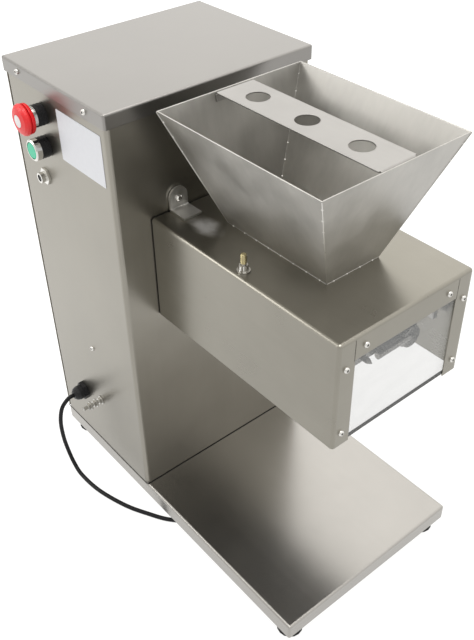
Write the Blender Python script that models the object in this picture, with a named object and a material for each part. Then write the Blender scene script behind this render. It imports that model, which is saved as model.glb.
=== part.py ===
"""Vertical meat cutting machine in metres, +Z up, front towards -Y, buttons towards -X.

A folded sheet-metal column stands on a floor plate. A cutting box with a tapered hopper hangs
on the column's front. Two geared shafts carry interleaved round knives under the hopper, and a
motor at the foot of the column drives them through a belt.
"""

import math

import bmesh
import bpy
from mathutils import Matrix, Vector

# Fits
SEAT_GAP = 0.0003
RUNNING_GAP = 0.0005

# Floor plate and feet
FOOT_CLEARANCE = 0.023
BASE_FRONT_REACH = 0.340
BASE_FLANGE = 0.025
BASE_SHEET = 0.0015
BASE_EDGE_RADIUS = 0.0035
FOOT_RADIUS = 0.019
FOOT_RUBBER_HEIGHT = 0.030
FOOT_INSET = 0.024
FOOT_STUD_RADIUS = 0.004
FOOT_NUT_RADIUS = 0.0085
FOOT_NUT_HEIGHT = 0.006

# Column
COLUMN_WIDTH = 0.330
COLUMN_DEPTH = 0.245
COLUMN_HEIGHT = 0.643
COLUMN_SHEET = 0.0015
COLUMN_BEND_RADIUS = 0.006
COLUMN_REAR_LIP = 0.022
CAP_FLANGE = 0.020
CAP_OVERHANG = 0.0025
CAP_SHEET = 0.0012
CAP_EDGE_RADIUS = 0.0028
CAP_SCREW_INSET = 0.040

# Rear cover
REAR_SHEET = 0.0015
REAR_SCREW_INSET = 0.010
LOUVRE_LENGTH = 0.070
LOUVRE_HEIGHT = 0.012
LOUVRE_PITCH = 0.022
LOUVRE_ROWS = 5
LOUVRE_COLUMN_OFFSET = 0.065
LOUVRE_FIRST_HEIGHT = 0.120

# Pan-head screws
SCREW_HEAD_RADIUS = 0.0040
SCREW_HEAD_HEIGHT = 0.0022

# Panel devices on the left side: distance behind the column's front, and the emergency stop's
# drop below the column's top, from which the others hang in a row
ESTOP_BACK = 0.156
ESTOP_DROP = 0.0525
START_BACK = 0.159
START_DROP = 0.0470
RESET_BACK = 0.1745
RESET_DROP = 0.0515
PANEL_SLEEVE_RADIUS = 0.0145
PANEL_SLEEVE_LENGTH = 0.0140
PANEL_BARREL_RADIUS = 0.0110
PANEL_BEZEL_RADIUS = 0.0150
CONTACT_BLOCK_WIDTH = 0.030
CONTACT_BLOCK_LENGTH = 0.040
CONTACT_BLOCK_GAP = 0.006
ESTOP_REACH = 0.0368
ESTOP_BEZEL_LENGTH = 0.0055
ESTOP_HEAD_RADIUS = 0.0215
ESTOP_HEAD_LENGTH = 0.0125
ESTOP_DISC_RADIUS = 0.0085
ESTOP_DISC_DEPTH = 0.0006
START_BUTTON_RADIUS = 0.0115
START_BEZEL_LENGTH = 0.0088
START_TRAVEL = 0.003
RESET_BARREL_RADIUS = 0.0075
RESET_BARREL_REACH = 0.0115
RESET_NUT_RADIUS = 0.0125
RESET_NUT_LENGTH = 0.0035
RESET_BUTTON_RADIUS = 0.0045
RESET_BUTTON_REACH = 0.0105
RESET_TRAVEL = 0.002
SIDE_SCREW_BACK = 0.119
SIDE_SCREW_HEIGHT = 0.213
EARTH_STUD_BACK = 0.116
EARTH_STUD_HEIGHT = 0.105
EARTH_STUD_RADIUS = 0.0030
EARTH_STUD_REACH = 0.034
EARTH_NUT_RADIUS = 0.0058
EARTH_NUT_LENGTH = 0.0050
EARTH_WASHER_RADIUS = 0.0075
EARTH_WASHER_LENGTH = 0.0012
EARTH_NUTS = 3
EARTH_NUT_PITCH = 0.0100
GLAND_BACK = 0.169
GLAND_HEIGHT = 0.091
GLAND_NUT_RADIUS = 0.0155
GLAND_NUT_LENGTH = 0.007
GLAND_THREAD_RADIUS = 0.009
GLAND_DOME_RADIUS = 0.0120
GLAND_REACH = 0.023

# Supply cord
CORD_DIAMETER = 0.007
COIL_MIDDLE_RADIUS = 0.0385
COIL_LAYERS = 2
COIL_TURNS_ABREAST = 2
COIL_CENTRE_X = 0.030
COIL_BEHIND_COLUMN = 0.062
CORD_TAIL_LENGTH = 0.034
PLUG_LENGTH = 0.052
PLUG_WIDTH = 0.030
PLUG_THICKNESS = 0.024
PLUG_PIN_LENGTH = 0.016

# Cutting box, hung on the column's front
BOX_WIDTH = 0.225
BOX_FRONT_REACH = 0.345
BOX_TOP = 0.482
BOX_BOTTOM = 0.325
BOX_SHEET = 0.0015
BOX_BEND_RADIUS = 0.004
BOX_COLUMN_GAP = 0.002
WINDOW_SIDE_FLANGE = 0.0265
WINDOW_TOP_FLANGE = 0.0325
WINDOW_THICKNESS = 0.004
WINDOW_MARGIN = 0.004
CORNER_SLIT = 0.0010
TOP_SCREW_OFFSET = 0.0705
TOP_SCREW_DROP = 0.018
SIDE_FLANGE_SCREW_INSET = 0.0125
SIDE_SCREW_UPPER_DROP = 0.0385
SIDE_SCREW_LOWER_RISE = 0.0207

# Hopper
THROAT_WIDTH = 0.087
THROAT_FRONT = 0.255
THROAT_BACK = 0.074
RIM_WIDTH = 0.229
RIM_FRONT = 0.309
RIM_BACK = 0.035
RIM_HEIGHT = 0.6435
HOPPER_SHEET = 0.0015
STRIP_WIDTH = 0.0586
STRIP_SHEET = 0.0015
STRIP_END_TAB = 0.012
STRIP_CORNER_NOTCH = 0.0035
STRIP_HOLE_RADIUS = 0.015
STRIP_HOLE_PITCH = 0.085
STRIP_MIDDLE_HOLE = 0.168

# Brackets that hold the box on the column
BRACKET_OFFSET = 0.0695
BRACKET_WIDTH = 0.029
BRACKET_SHEET = 0.003
BRACKET_FOOT = 0.0305
BRACKET_RISE = 0.0325
BRACKET_SCREW_RISE = 0.0165
BRACKET_SCREW_RADIUS = 0.0025
BRACKET_SCREW_HEAD_RADIUS = 0.0045
BRACKET_SCREW_HEAD_HEIGHT = 0.0030
BRACKET_SCREW_LENGTH = 0.012
BRACKET_STAND_OFF = 0.0010

# Wing nuts that clamp the box to the rails inside it
WING_OFFSET = 0.098
WING_BACK = 0.170
WING_STUD_RADIUS = 0.0035
WING_STUD_RISE = 0.024
WING_HUB_RADIUS = 0.0065
WING_HUB_HEIGHT = 0.009
WING_SPAN = 0.030
WING_THICKNESS = 0.0022
WING_HEIGHT = 0.014
WING_WASHER_RADIUS = 0.0085
WING_WASHER_HEIGHT = 0.0015
WING_TURN = 35.0

# Rails inside the box
RAIL_WIDTH = 0.009
RAIL_HEIGHT = 0.024
RAIL_WINDOW_GAP = 0.033
RAIL_TOP = 0.417
RAIL_PLATE_THICKNESS = 0.006
RAIL_PLATE_HEIGHT = 0.110

# Knife cassette
SHAFT_HEIGHT = 0.425
SHAFT_SPACING = 0.072
SHAFT_RADIUS = 0.010
KNIFE_PITCH = 0.0190
KNIFE_RADIUS = 0.0375
KNIFE_HUB_RADIUS = 0.015
KNIFE_SIDE_GAP = 0.0004
KNIFE_REAR = 0.068
KNIFE_FACETS = 20
CASSETTE_REAR = 0.044
CASSETTE_PLATE = 0.007
CASSETTE_WINDOW_GAP = 0.046
CASSETTE_PLATE_RISE = 0.034
CASSETTE_PLATE_DROP = 0.036
CASSETTE_EAR_WIDTH = 0.206
TIE_ROD_RADIUS = 0.004
TIE_ROD_OFFSET = 0.0865
COMB_BAR = 0.006
COMB_HEIGHT = 0.014
COMB_OUTER = 0.0815
BEARING_CAP_RADIUS = 0.0185
BEARING_CAP_LENGTH = 0.006
BEARING_CAP_HUB_RADIUS = 0.0095
BEARING_CAP_HUB_LENGTH = 0.004
LOCK_OFFSET = 0.055
LOCK_DROP = 0.039
LOCK_DISC_RADIUS = 0.0155
LOCK_DISC_THICKNESS = 0.006
LOCK_ROD_RADIUS = 0.0045
LOCK_ROD_LENGTH = 0.058
LOCK_PIN_RADIUS = 0.004
LOCK_PIN_REACH = 0.016
COUPLING_RADIUS = 0.0145
COUPLING_FRONT = 0.030
COUPLING_TONGUE = 0.007
COUPLING_TONGUE_DEPTH = 0.008

# Gear case inside the column
GEAR_PLATE = 0.008
GEAR_PLATE_WIDTH = 0.176
GEAR_PLATE_HEIGHT = 0.104
GEAR_PLATE_CORNER = 0.020
GEAR_PLATE_SPACE = 0.026
GEAR_SPACER_RADIUS = 0.007
GEAR_SPACER_INSET = 0.012
GEAR_TEETH = 24
GEAR_FACE = 0.018
GEAR_BACKLASH = 0.0009
GEAR_TIP_GAP = 0.0008
GEAR_SHAFT_RADIUS = 0.010
BEARING_RADIUS = 0.0175
BEARING_BOSS_RISE = 0.0025

# Belt drive
PULLEY_BACK = 0.064
PULLEY_FACE = 0.016
DRIVEN_PULLEY_RADIUS = 0.070
MOTOR_PULLEY_RADIUS = 0.033
BELT_WIDTH = 0.010
BELT_THICKNESS = 0.007
BELT_SINK = 0.006

# Motor
MOTOR_FRONT = 0.092
MOTOR_REAR_SPACE = 0.0252
MOTOR_RADIUS = 0.058
MOTOR_FIN_DEPTH = 0.006
MOTOR_FINS = 18
MOTOR_AXIS_RISE = 0.078
MOTOR_SHIELD_LENGTH = 0.010
MOTOR_SHAFT_RADIUS = 0.0080
MOTOR_BEARING_RADIUS = 0.022
FAN_COVER_LENGTH = 0.034
MOTOR_PLATE = 0.006
MOTOR_PLATE_WIDTH = 0.130
MOTOR_PLATE_LENGTH = 0.100
MOTOR_FOOT_WIDTH = 0.018
TERMINAL_BOX_WIDTH = 0.060
TERMINAL_BOX_HEIGHT = 0.030

# Places worked out from the sizes above, in the machine's own frame: x = 0 in the column's
# middle, y = 0 on its front face, z = 0 on the floor
BASE_TOP = FOOT_CLEARANCE + BASE_FLANGE
CAP_TOP = BASE_TOP + COLUMN_HEIGHT
LEFT_FACE = -COLUMN_WIDTH / 2
RIGHT_FACE = COLUMN_WIDTH / 2
SHELL_BOTTOM = BASE_TOP + SEAT_GAP
SHELL_TOP = CAP_TOP - CAP_SHEET - SEAT_GAP
SHELL_BACK = COLUMN_DEPTH - REAR_SHEET - SEAT_GAP
BOX_TOP_Z = BASE_TOP + BOX_TOP
BOX_BOTTOM_Z = BASE_TOP + BOX_BOTTOM
RIM_Z = BASE_TOP + RIM_HEIGHT
SHAFT_Z = BASE_TOP + SHAFT_HEIGHT
RAIL_TOP_Z = BASE_TOP + RAIL_TOP
SHAFT_X = SHAFT_SPACING / 2
GEAR_PLATE_FRONT = COLUMN_SHEET + SEAT_GAP
GEAR_FRONT = GEAR_PLATE_FRONT + GEAR_PLATE + (GEAR_PLATE_SPACE - GEAR_FACE) / 2
GEAR_PLATE_REAR = GEAR_PLATE_FRONT + GEAR_PLATE + GEAR_PLATE_SPACE
ESTOP_HEIGHT = COLUMN_HEIGHT - ESTOP_DROP
START_HEIGHT = ESTOP_HEIGHT - START_DROP
RESET_HEIGHT = START_HEIGHT - RESET_DROP
MOTOR_X = -SHAFT_X
MOTOR_Z = BASE_TOP + MOTOR_AXIS_RISE
MOTOR_LENGTH = SHELL_BACK - MOTOR_FRONT - FAN_COVER_LENGTH - MOTOR_REAR_SPACE
RAIL_FRONT_REACH = BOX_FRONT_REACH - RAIL_WINDOW_GAP
CASSETTE_FRONT = BOX_FRONT_REACH - CASSETTE_WINDOW_GAP
KNIFE_STACK_FRONT = min(THROAT_FRONT, CASSETTE_FRONT - KNIFE_PITCH)
KNIFE_COUNT = round((KNIFE_STACK_FRONT - KNIFE_REAR) / KNIFE_PITCH)
CASSETTE_REAR_FACE = -CASSETTE_REAR
CASSETTE_FRONT_FACE = -CASSETTE_FRONT
MACHINE_LEFT = LEFT_FACE - ESTOP_REACH
MACHINE_RIGHT = RIGHT_FACE + CAP_OVERHANG + SCREW_HEAD_HEIGHT
MACHINE_FRONT = -BOX_FRONT_REACH - SCREW_HEAD_HEIGHT
MACHINE_BACK = COLUMN_DEPTH + max(CAP_OVERHANG, SCREW_HEAD_HEIGHT)

# Directions in which an outline drawn in local XY is extruded
FACING_FRONT = Matrix.Rotation(math.radians(90), 4, "X")
FACING_BACK = Matrix(((-1, 0, 0, 0), (0, 0, 1, 0), (0, 1, 0, 0), (0, 0, 0, 1)))
FACING_LEFT = Matrix(((0, 0, -1, 0), (-1, 0, 0, 0), (0, 1, 0, 0), (0, 0, 0, 1)))
FACING_RIGHT = Matrix(((0, 0, 1, 0), (1, 0, 0, 0), (0, 1, 0, 0), (0, 0, 0, 1)))

# Finishes: colour, roughness, metallic
FINISHES = {
    "stainless_sheet": ((0.62, 0.61, 0.58), 0.32, 1.0),
    "stainless_bright": ((0.72, 0.71, 0.69), 0.18, 1.0),
    "hopper_sheet": ((0.56, 0.55, 0.53), 0.36, 1.0),
    "knife_steel": ((0.58, 0.58, 0.58), 0.25, 1.0),
    "cast_grey": ((0.32, 0.33, 0.34), 0.55, 0.8),
    "motor_paint": ((0.16, 0.22, 0.26), 0.45, 0.0),
    "black_plastic": ((0.02, 0.02, 0.02), 0.45, 0.0),
    "black_rubber": ((0.015, 0.015, 0.015), 0.75, 0.0),
    "red_plastic": ((0.70, 0.05, 0.05), 0.30, 0.0),
    "green_plastic": ((0.03, 0.30, 0.16), 0.35, 0.0),
    "brass": ((0.65, 0.50, 0.26), 0.30, 1.0),
    "clear_acrylic": ((0.92, 0.95, 0.94), 0.05, 0.0),
}


def clear_scene():
    """Remove every object that the file opened with."""
    for item in list(bpy.data.objects):
        bpy.data.objects.remove(item, do_unlink=True)


def finish_material(finish):
    """One Principled BSDF material for each finish, made when it is first asked for."""
    found = bpy.data.materials.get(finish)
    if found:
        return found
    colour, roughness, metallic = FINISHES[finish]
    made = bpy.data.materials.new(finish)
    made.use_nodes = True
    shader = made.node_tree.nodes["Principled BSDF"]
    shader.inputs["Base Color"].default_value = (*colour, 1.0)
    shader.inputs["Roughness"].default_value = roughness
    shader.inputs["Metallic"].default_value = metallic
    return made


def shape_to_mesh(shape, name):
    """Turn a bmesh into a mesh with its faces pointing out, and free it."""
    bmesh.ops.recalc_face_normals(shape, faces=shape.faces[:])
    if shape.calc_volume(signed=True) < 0:
        bmesh.ops.reverse_faces(shape, faces=shape.faces[:])
    mesh = bpy.data.meshes.new(name)
    shape.to_mesh(mesh)
    shape.free()
    return mesh


def moved(shape, matrix):
    """The same shape after a matrix."""
    shape.transform(matrix)
    return shape


def at(x, y, z):
    """A translation matrix."""
    return Matrix.Translation((x, y, z))


def joined(shapes):
    """Several shapes as one bmesh that still holds separate bodies."""
    whole = bmesh.new()
    for shape in shapes:
        mesh = shape_to_mesh(shape, "piece")
        whole.from_mesh(mesh)
        bpy.data.meshes.remove(mesh)
    return whole


def repeated(make, matrices):
    """Copies of one made shape, one at each matrix."""
    return joined([moved(make(), matrix) for matrix in matrices])


def with_modifier(shape, kind, settings):
    """The bmesh that one modifier makes of a shape."""
    carrier = bpy.data.objects.new("carrier", shape_to_mesh(shape, "carrier"))
    bpy.context.scene.collection.objects.link(carrier)
    modifier = carrier.modifiers.new(kind, kind)
    for key, value in settings.items():
        setattr(modifier, key, value)
    depsgraph = bpy.context.evaluated_depsgraph_get()
    result = bmesh.new()
    result.from_mesh(carrier.evaluated_get(depsgraph).data)
    bpy.data.objects.remove(carrier, do_unlink=True)
    return result


def combined(shape, tool, operation):
    """A Boolean of two shapes."""
    helper = bpy.data.objects.new("helper", shape_to_mesh(tool, "helper"))
    helper.hide_render = True
    helper.display_type = "WIRE"
    bpy.context.scene.collection.objects.link(helper)
    result = with_modifier(shape, "BOOLEAN", {"operation": operation, "object": helper})
    bpy.data.objects.remove(helper, do_unlink=True)
    return result


def cut(shape, tool):
    """The shape without what the tool covers."""
    return combined(shape, tool, "DIFFERENCE")


def fused(first, *others):
    """Overlapping shapes as one body."""
    for other in others:
        first = combined(first, other, "UNION")
    return first


def thickened(shape, sheet):
    """An open surface given a sheet thickness on its inner side."""
    settings = {"thickness": sheet, "offset": -1.0, "use_even_offset": True, "use_quality_normals": True}
    return with_modifier(shape, "SOLIDIFY", settings)


def softened(shape, radius, segments=2, least_angle=30):
    """Every edge sharper than an angle rounded by a radius."""
    limit = math.radians(least_angle)
    edges = [e for e in shape.edges if len(e.link_faces) == 2 and e.calc_face_angle() > limit]
    bmesh.ops.bevel(
        shape, geom=edges, offset=radius, segments=segments, profile=0.5, affect="EDGES", clamp_overlap=True
    )
    return shape


def prism(outline, depth, holes=()):
    """A closed solid from z = 0 to z = depth with the given outline and through holes."""
    shape = bmesh.new()
    edges = []
    for loop in (outline, *holes):
        ring = [shape.verts.new((x, y, 0.0)) for x, y in loop]
        edges += [shape.edges.new((ring[i - 1], ring[i])) for i in range(len(ring))]
    bmesh.ops.triangle_fill(shape, use_beauty=True, edges=edges)
    grown = bmesh.ops.extrude_face_region(shape, geom=shape.faces[:])
    raised = [v for v in grown["geom"] if isinstance(v, bmesh.types.BMVert)]
    bmesh.ops.translate(shape, verts=raised, vec=(0, 0, depth))
    bmesh.ops.recalc_face_normals(shape, faces=shape.faces[:])
    return shape


def turned(profile, count=24, ring=False):
    """A solid spun about local Z from (radius, z) points; a ring's profile closes on itself."""
    shape = bmesh.new()
    points = [shape.verts.new((radius, 0.0, z)) for radius, z in profile]
    pairs = list(zip(points, points[1:]))
    if ring:
        pairs.append((points[-1], points[0]))
    edges = [shape.edges.new(pair) for pair in pairs]
    bmesh.ops.spin(
        shape,
        geom=points + edges,
        cent=(0, 0, 0),
        axis=(0, 0, 1),
        angle=math.tau,
        steps=count,
        use_merge=True,
    )
    bmesh.ops.remove_doubles(shape, verts=shape.verts[:], dist=1e-6)
    bmesh.ops.recalc_face_normals(shape, faces=shape.faces[:])
    return shape


def block(low, high):
    """A plain box between two corners."""
    low, high = Vector(low), Vector(high)
    shape = bmesh.new()
    bmesh.ops.create_cube(shape, size=1.0)
    size = high - low
    shape.transform(Matrix.Translation((low + high) / 2) @ Matrix.Diagonal((*size, 1.0)))
    return shape


def cylinder(radius, length, count=24):
    """A plain round bar from z = 0 to z = length."""
    return turned([(0, 0), (radius, 0), (radius, length), (0, length)], count)


def circle(radius, count=24, centre=(0.0, 0.0), phase=0.0):
    """Points of a circle, counter-clockwise."""
    step = math.tau / count
    turns = [phase + step * i for i in range(count)]
    return [(centre[0] + radius * math.cos(a), centre[1] + radius * math.sin(a)) for a in turns]


def rounded_rectangle(width, height, radius, steps=4):
    """Outline of a rectangle about the origin with round corners, counter-clockwise."""
    points = []
    for quarter, (sx, sy) in enumerate(((1, 1), (-1, 1), (-1, -1), (1, -1))):
        centre = (sx * (width / 2 - radius), sy * (height / 2 - radius))
        for step in range(steps + 1):
            angle = math.radians(90) * (quarter + step / steps)
            points.append((centre[0] + radius * math.cos(angle), centre[1] + radius * math.sin(angle)))
    return points


def folded_strip(corners, radius, sheet, steps=4):
    """Closed outline of a bent sheet whose outer side follows the corners, all turning left."""
    corners = [Vector(c) for c in corners]
    path = [(corners[0], left_of(corners[1] - corners[0]))]
    for before, corner, after in zip(corners, corners[1:], corners[2:]):
        into = (corner - before).normalized()
        out = (after - corner).normalized()
        bend = into.angle_signed(out) * -1
        tangent = radius * math.tan(abs(bend) / 2)
        centre = corner - into * tangent + left_of(into) * radius
        start = -left_of(into)
        for step in range(steps + 1):
            spoke = Matrix.Rotation(bend * step / steps, 2) @ start
            path.append((centre + spoke * radius, -spoke))
    path.append((corners[-1], left_of(corners[-1] - corners[-2])))
    outer = [tuple(point) for point, _ in path]
    inner = [tuple(point + inward * sheet) for point, inward in reversed(path)]
    return outer + inner


def left_of(direction):
    """Unit vector to the left of a 2-D direction."""
    unit = Vector(direction).normalized()
    return Vector((-unit.y, unit.x))


def lid(low, high, radius, sheet):
    """A sheet lid, open below, with folded and rounded edges, between two corners."""
    shape = block(low, high)
    floor = [face for face in shape.faces if face.normal.z < -0.5]
    bmesh.ops.delete(shape, geom=floor, context="FACES_ONLY")
    softened(shape, radius, segments=3)
    return thickened(shape, sheet)


def screw_head():
    """A pan screw's head, rising from z = 0 and rooted a little way into the sheet below it."""
    root = -BOX_SHEET / 2
    profile = [
        (0, root),
        (SCREW_HEAD_RADIUS, root),
        (SCREW_HEAD_RADIUS, SCREW_HEAD_HEIGHT * 0.45),
        (SCREW_HEAD_RADIUS * 0.68, SCREW_HEAD_HEIGHT),
        (0, SCREW_HEAD_HEIGHT),
    ]
    return turned(profile, 10)


def hexagon_bar(radius, length, bore=0.0):
    """A hexagonal bar or nut from z = 0 to z = length, its radius taken over the corners."""
    holes = (circle(bore, 12),) if bore else ()
    return prism(circle(radius, 6), length, holes)


def make_part(name, shape, finish, pivot=(0.0, 0.0, 0.0)):
    """One named object with its origin at the pivot, hung on the machine's own frame."""
    moved(shape, Matrix.Translation(-Vector(pivot)))
    mesh = shape_to_mesh(shape, name)
    mesh.shade_smooth()
    mesh.set_sharp_from_angle(angle=math.radians(32))
    mesh.materials.append(finish_material(finish))
    part = bpy.data.objects.new(name, mesh)
    bpy.context.scene.collection.objects.link(part)
    part.parent = bpy.data.objects["machine_frame"]
    part.location = pivot
    return part


def make_frame():
    """The empty that carries all parts, so that the row's origin is under the machine's middle."""
    frame = bpy.data.objects.new("machine_frame", None)
    bpy.context.scene.collection.objects.link(frame)
    frame.location = (-(MACHINE_LEFT + MACHINE_RIGHT) / 2, -(MACHINE_FRONT + MACHINE_BACK) / 2, 0.0)
    return frame


def foot_places():
    """Name and place of each foot, inset from the floor plate's corners."""
    back = COLUMN_DEPTH - FOOT_INSET
    front = -BASE_FRONT_REACH + FOOT_INSET
    side = COLUMN_WIDTH / 2 - FOOT_INSET
    return {
        "front_left_foot": (-side, front, 0),
        "front_right_foot": (side, front, 0),
        "rear_left_foot": (-side, back, 0),
        "rear_right_foot": (side, back, 0),
    }


def foot_shape():
    """Rubber foot moulded on its steel stud, with the lock nut under the floor plate."""
    stud_top = BASE_TOP - BASE_SHEET - SEAT_GAP
    profile = [
        (0, 0),
        (FOOT_RADIUS * 0.9, 0),
        (FOOT_RADIUS, 0.003),
        (FOOT_RADIUS * 0.84, FOOT_RUBBER_HEIGHT),
        (FOOT_STUD_RADIUS, FOOT_RUBBER_HEIGHT),
        (FOOT_STUD_RADIUS, stud_top),
        (0, stud_top),
    ]
    nut = hexagon_bar(FOOT_NUT_RADIUS, FOOT_NUT_HEIGHT)
    nut_bottom = stud_top - FOOT_NUT_HEIGHT
    return fused(turned(profile, 16), moved(nut, at(0, 0, nut_bottom)))


def build_base():
    """Floor plate with folded edges on four rubber feet."""
    low = (LEFT_FACE, -BASE_FRONT_REACH, FOOT_CLEARANCE)
    high = (RIGHT_FACE, COLUMN_DEPTH, BASE_TOP)
    make_part("base_plate", lid(low, high, BASE_EDGE_RADIUS, BASE_SHEET), "stainless_sheet")
    for name, place in foot_places().items():
        make_part(name, moved(foot_shape(), at(*place)), "black_rubber")


def side_panel(back, height):
    """Matrix of a device on the column's left face: local Z points away from the panel."""
    return at(LEFT_FACE, back, BASE_TOP + height) @ FACING_LEFT


def cap_screw_places():
    """Screws in the cap's two side flanges, their heads outside."""
    height = CAP_TOP - CAP_FLANGE / 2
    side = COLUMN_WIDTH / 2 + CAP_OVERHANG
    backs = (CAP_SCREW_INSET, COLUMN_DEPTH - CAP_SCREW_INSET)
    left = [at(-side, back, height) @ FACING_LEFT for back in backs]
    right = [at(side, back, height) @ FACING_RIGHT for back in backs]
    return left + right


def rear_screw_places():
    """Six screws down the rear cover's two sides."""
    side = COLUMN_WIDTH / 2 - REAR_SCREW_INSET
    low = SHELL_BOTTOM + REAR_SCREW_INSET * 2
    high = CAP_TOP - CAP_FLANGE - REAR_SCREW_INSET * 2
    heights = (low, (low + high) / 2, high)
    return [at(x, COLUMN_DEPTH, z) @ FACING_BACK for x in (-side, side) for z in heights]


def build_column():
    """Folded column shell, its louvred rear cover and its cap."""
    lip = COLUMN_REAR_LIP
    outline = folded_strip(
        [
            (LEFT_FACE + lip, SHELL_BACK),
            (LEFT_FACE, SHELL_BACK),
            (LEFT_FACE, 0.0),
            (RIGHT_FACE, 0.0),
            (RIGHT_FACE, SHELL_BACK),
            (RIGHT_FACE - lip, SHELL_BACK),
        ],
        COLUMN_BEND_RADIUS,
        COLUMN_SHEET,
    )
    shell = moved(prism(outline, SHELL_TOP - SHELL_BOTTOM), at(0, 0, SHELL_BOTTOM))
    through = COLUMN_SHEET * 3
    openings = []
    for back, height, radius in (
        (ESTOP_BACK, ESTOP_HEIGHT, PANEL_BARREL_RADIUS),
        (START_BACK, START_HEIGHT, PANEL_BARREL_RADIUS),
        (RESET_BACK, RESET_HEIGHT, RESET_BARREL_RADIUS),
        (GLAND_BACK, GLAND_HEIGHT, GLAND_THREAD_RADIUS),
        (EARTH_STUD_BACK, EARTH_STUD_HEIGHT, EARTH_STUD_RADIUS),
    ):
        bore = moved(cylinder(radius + SEAT_GAP, through, 20), at(0, 0, -through * 0.6))
        openings.append(moved(bore, side_panel(back, height)))
    for x in (-SHAFT_X, SHAFT_X):
        bore = cylinder(COUPLING_RADIUS + RUNNING_GAP * 2, through, 24)
        openings.append(moved(bore, at(x, through * 0.6, SHAFT_Z) @ FACING_FRONT))
    for x in (-BRACKET_OFFSET, BRACKET_OFFSET):
        bore = cylinder(BRACKET_SCREW_RADIUS + SEAT_GAP, through, 12)
        openings.append(moved(bore, at(x, through * 0.6, BOX_TOP_Z + BRACKET_SCREW_RISE) @ FACING_FRONT))
    shell = cut(shell, joined(openings))
    side_screw = moved(screw_head(), side_panel(SIDE_SCREW_BACK, SIDE_SCREW_HEIGHT))
    make_part("column_shell", fused(shell, side_screw), "stainless_sheet")

    cover_height = SHELL_TOP - SHELL_BOTTOM
    louvres = []
    for row in range(LOUVRE_ROWS):
        for side in (-1, 1):
            slot = rounded_rectangle(LOUVRE_LENGTH, LOUVRE_HEIGHT, LOUVRE_HEIGHT * 0.49, 2)
            rise = LOUVRE_FIRST_HEIGHT + row * LOUVRE_PITCH - cover_height / 2
            louvres.append([(x + side * LOUVRE_COLUMN_OFFSET, y + rise) for x, y in slot])
    panel = prism(rounded_rectangle(COLUMN_WIDTH - 0.001, cover_height, 0.002, 2), REAR_SHEET, louvres)
    middle = (SHELL_BOTTOM + SHELL_TOP) / 2
    panel = moved(panel, at(0, COLUMN_DEPTH - REAR_SHEET, middle) @ FACING_BACK)
    panel = fused(panel, repeated(screw_head, rear_screw_places()))
    make_part("rear_cover", panel, "stainless_sheet")

    low = (LEFT_FACE - CAP_OVERHANG, -CAP_OVERHANG, CAP_TOP - CAP_FLANGE)
    high = (RIGHT_FACE + CAP_OVERHANG, COLUMN_DEPTH + CAP_OVERHANG, CAP_TOP)
    cap = lid(low, high, CAP_EDGE_RADIUS, CAP_SHEET)
    cap = fused(cap, repeated(screw_head, cap_screw_places()))
    make_part("top_cap", cap, "stainless_sheet")


def panel_barrel(length_out):
    """A black mounting sleeve outside the panel with its threaded barrel through the panel."""
    inner = PANEL_BARREL_RADIUS * 0.62
    profile = [
        (inner, -COLUMN_SHEET - CONTACT_BLOCK_GAP),
        (PANEL_BARREL_RADIUS, -COLUMN_SHEET - CONTACT_BLOCK_GAP),
        (PANEL_BARREL_RADIUS, SEAT_GAP),
        (PANEL_SLEEVE_RADIUS, SEAT_GAP),
        (PANEL_SLEEVE_RADIUS, length_out),
        (inner, length_out),
    ]
    return turned(profile, 24, ring=True)


def panel_bezel(start, length, inner):
    """A bright bezel ring in front of the sleeve."""
    end = start + length
    profile = [
        (inner, start),
        (PANEL_BEZEL_RADIUS, start),
        (PANEL_BEZEL_RADIUS, end - 0.0015),
        (PANEL_BEZEL_RADIUS - 0.0015, end),
        (inner, end),
    ]
    return turned(profile, 24, ring=True)


def contact_block():
    """The switch block behind the panel, with softened edges and two terminal grooves."""
    half = CONTACT_BLOCK_WIDTH / 2
    start = -COLUMN_SHEET - CONTACT_BLOCK_GAP - SEAT_GAP
    body = block((-half, -half, start - CONTACT_BLOCK_LENGTH), (half, half, start))
    body = softened(body, 0.0015, 1)
    groove = block(
        (-half * 2, -half * 0.18, start - CONTACT_BLOCK_LENGTH * 2),
        (half * 2, half * 0.18, start - CONTACT_BLOCK_LENGTH * 0.8),
    )
    return cut(body, groove)


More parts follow.
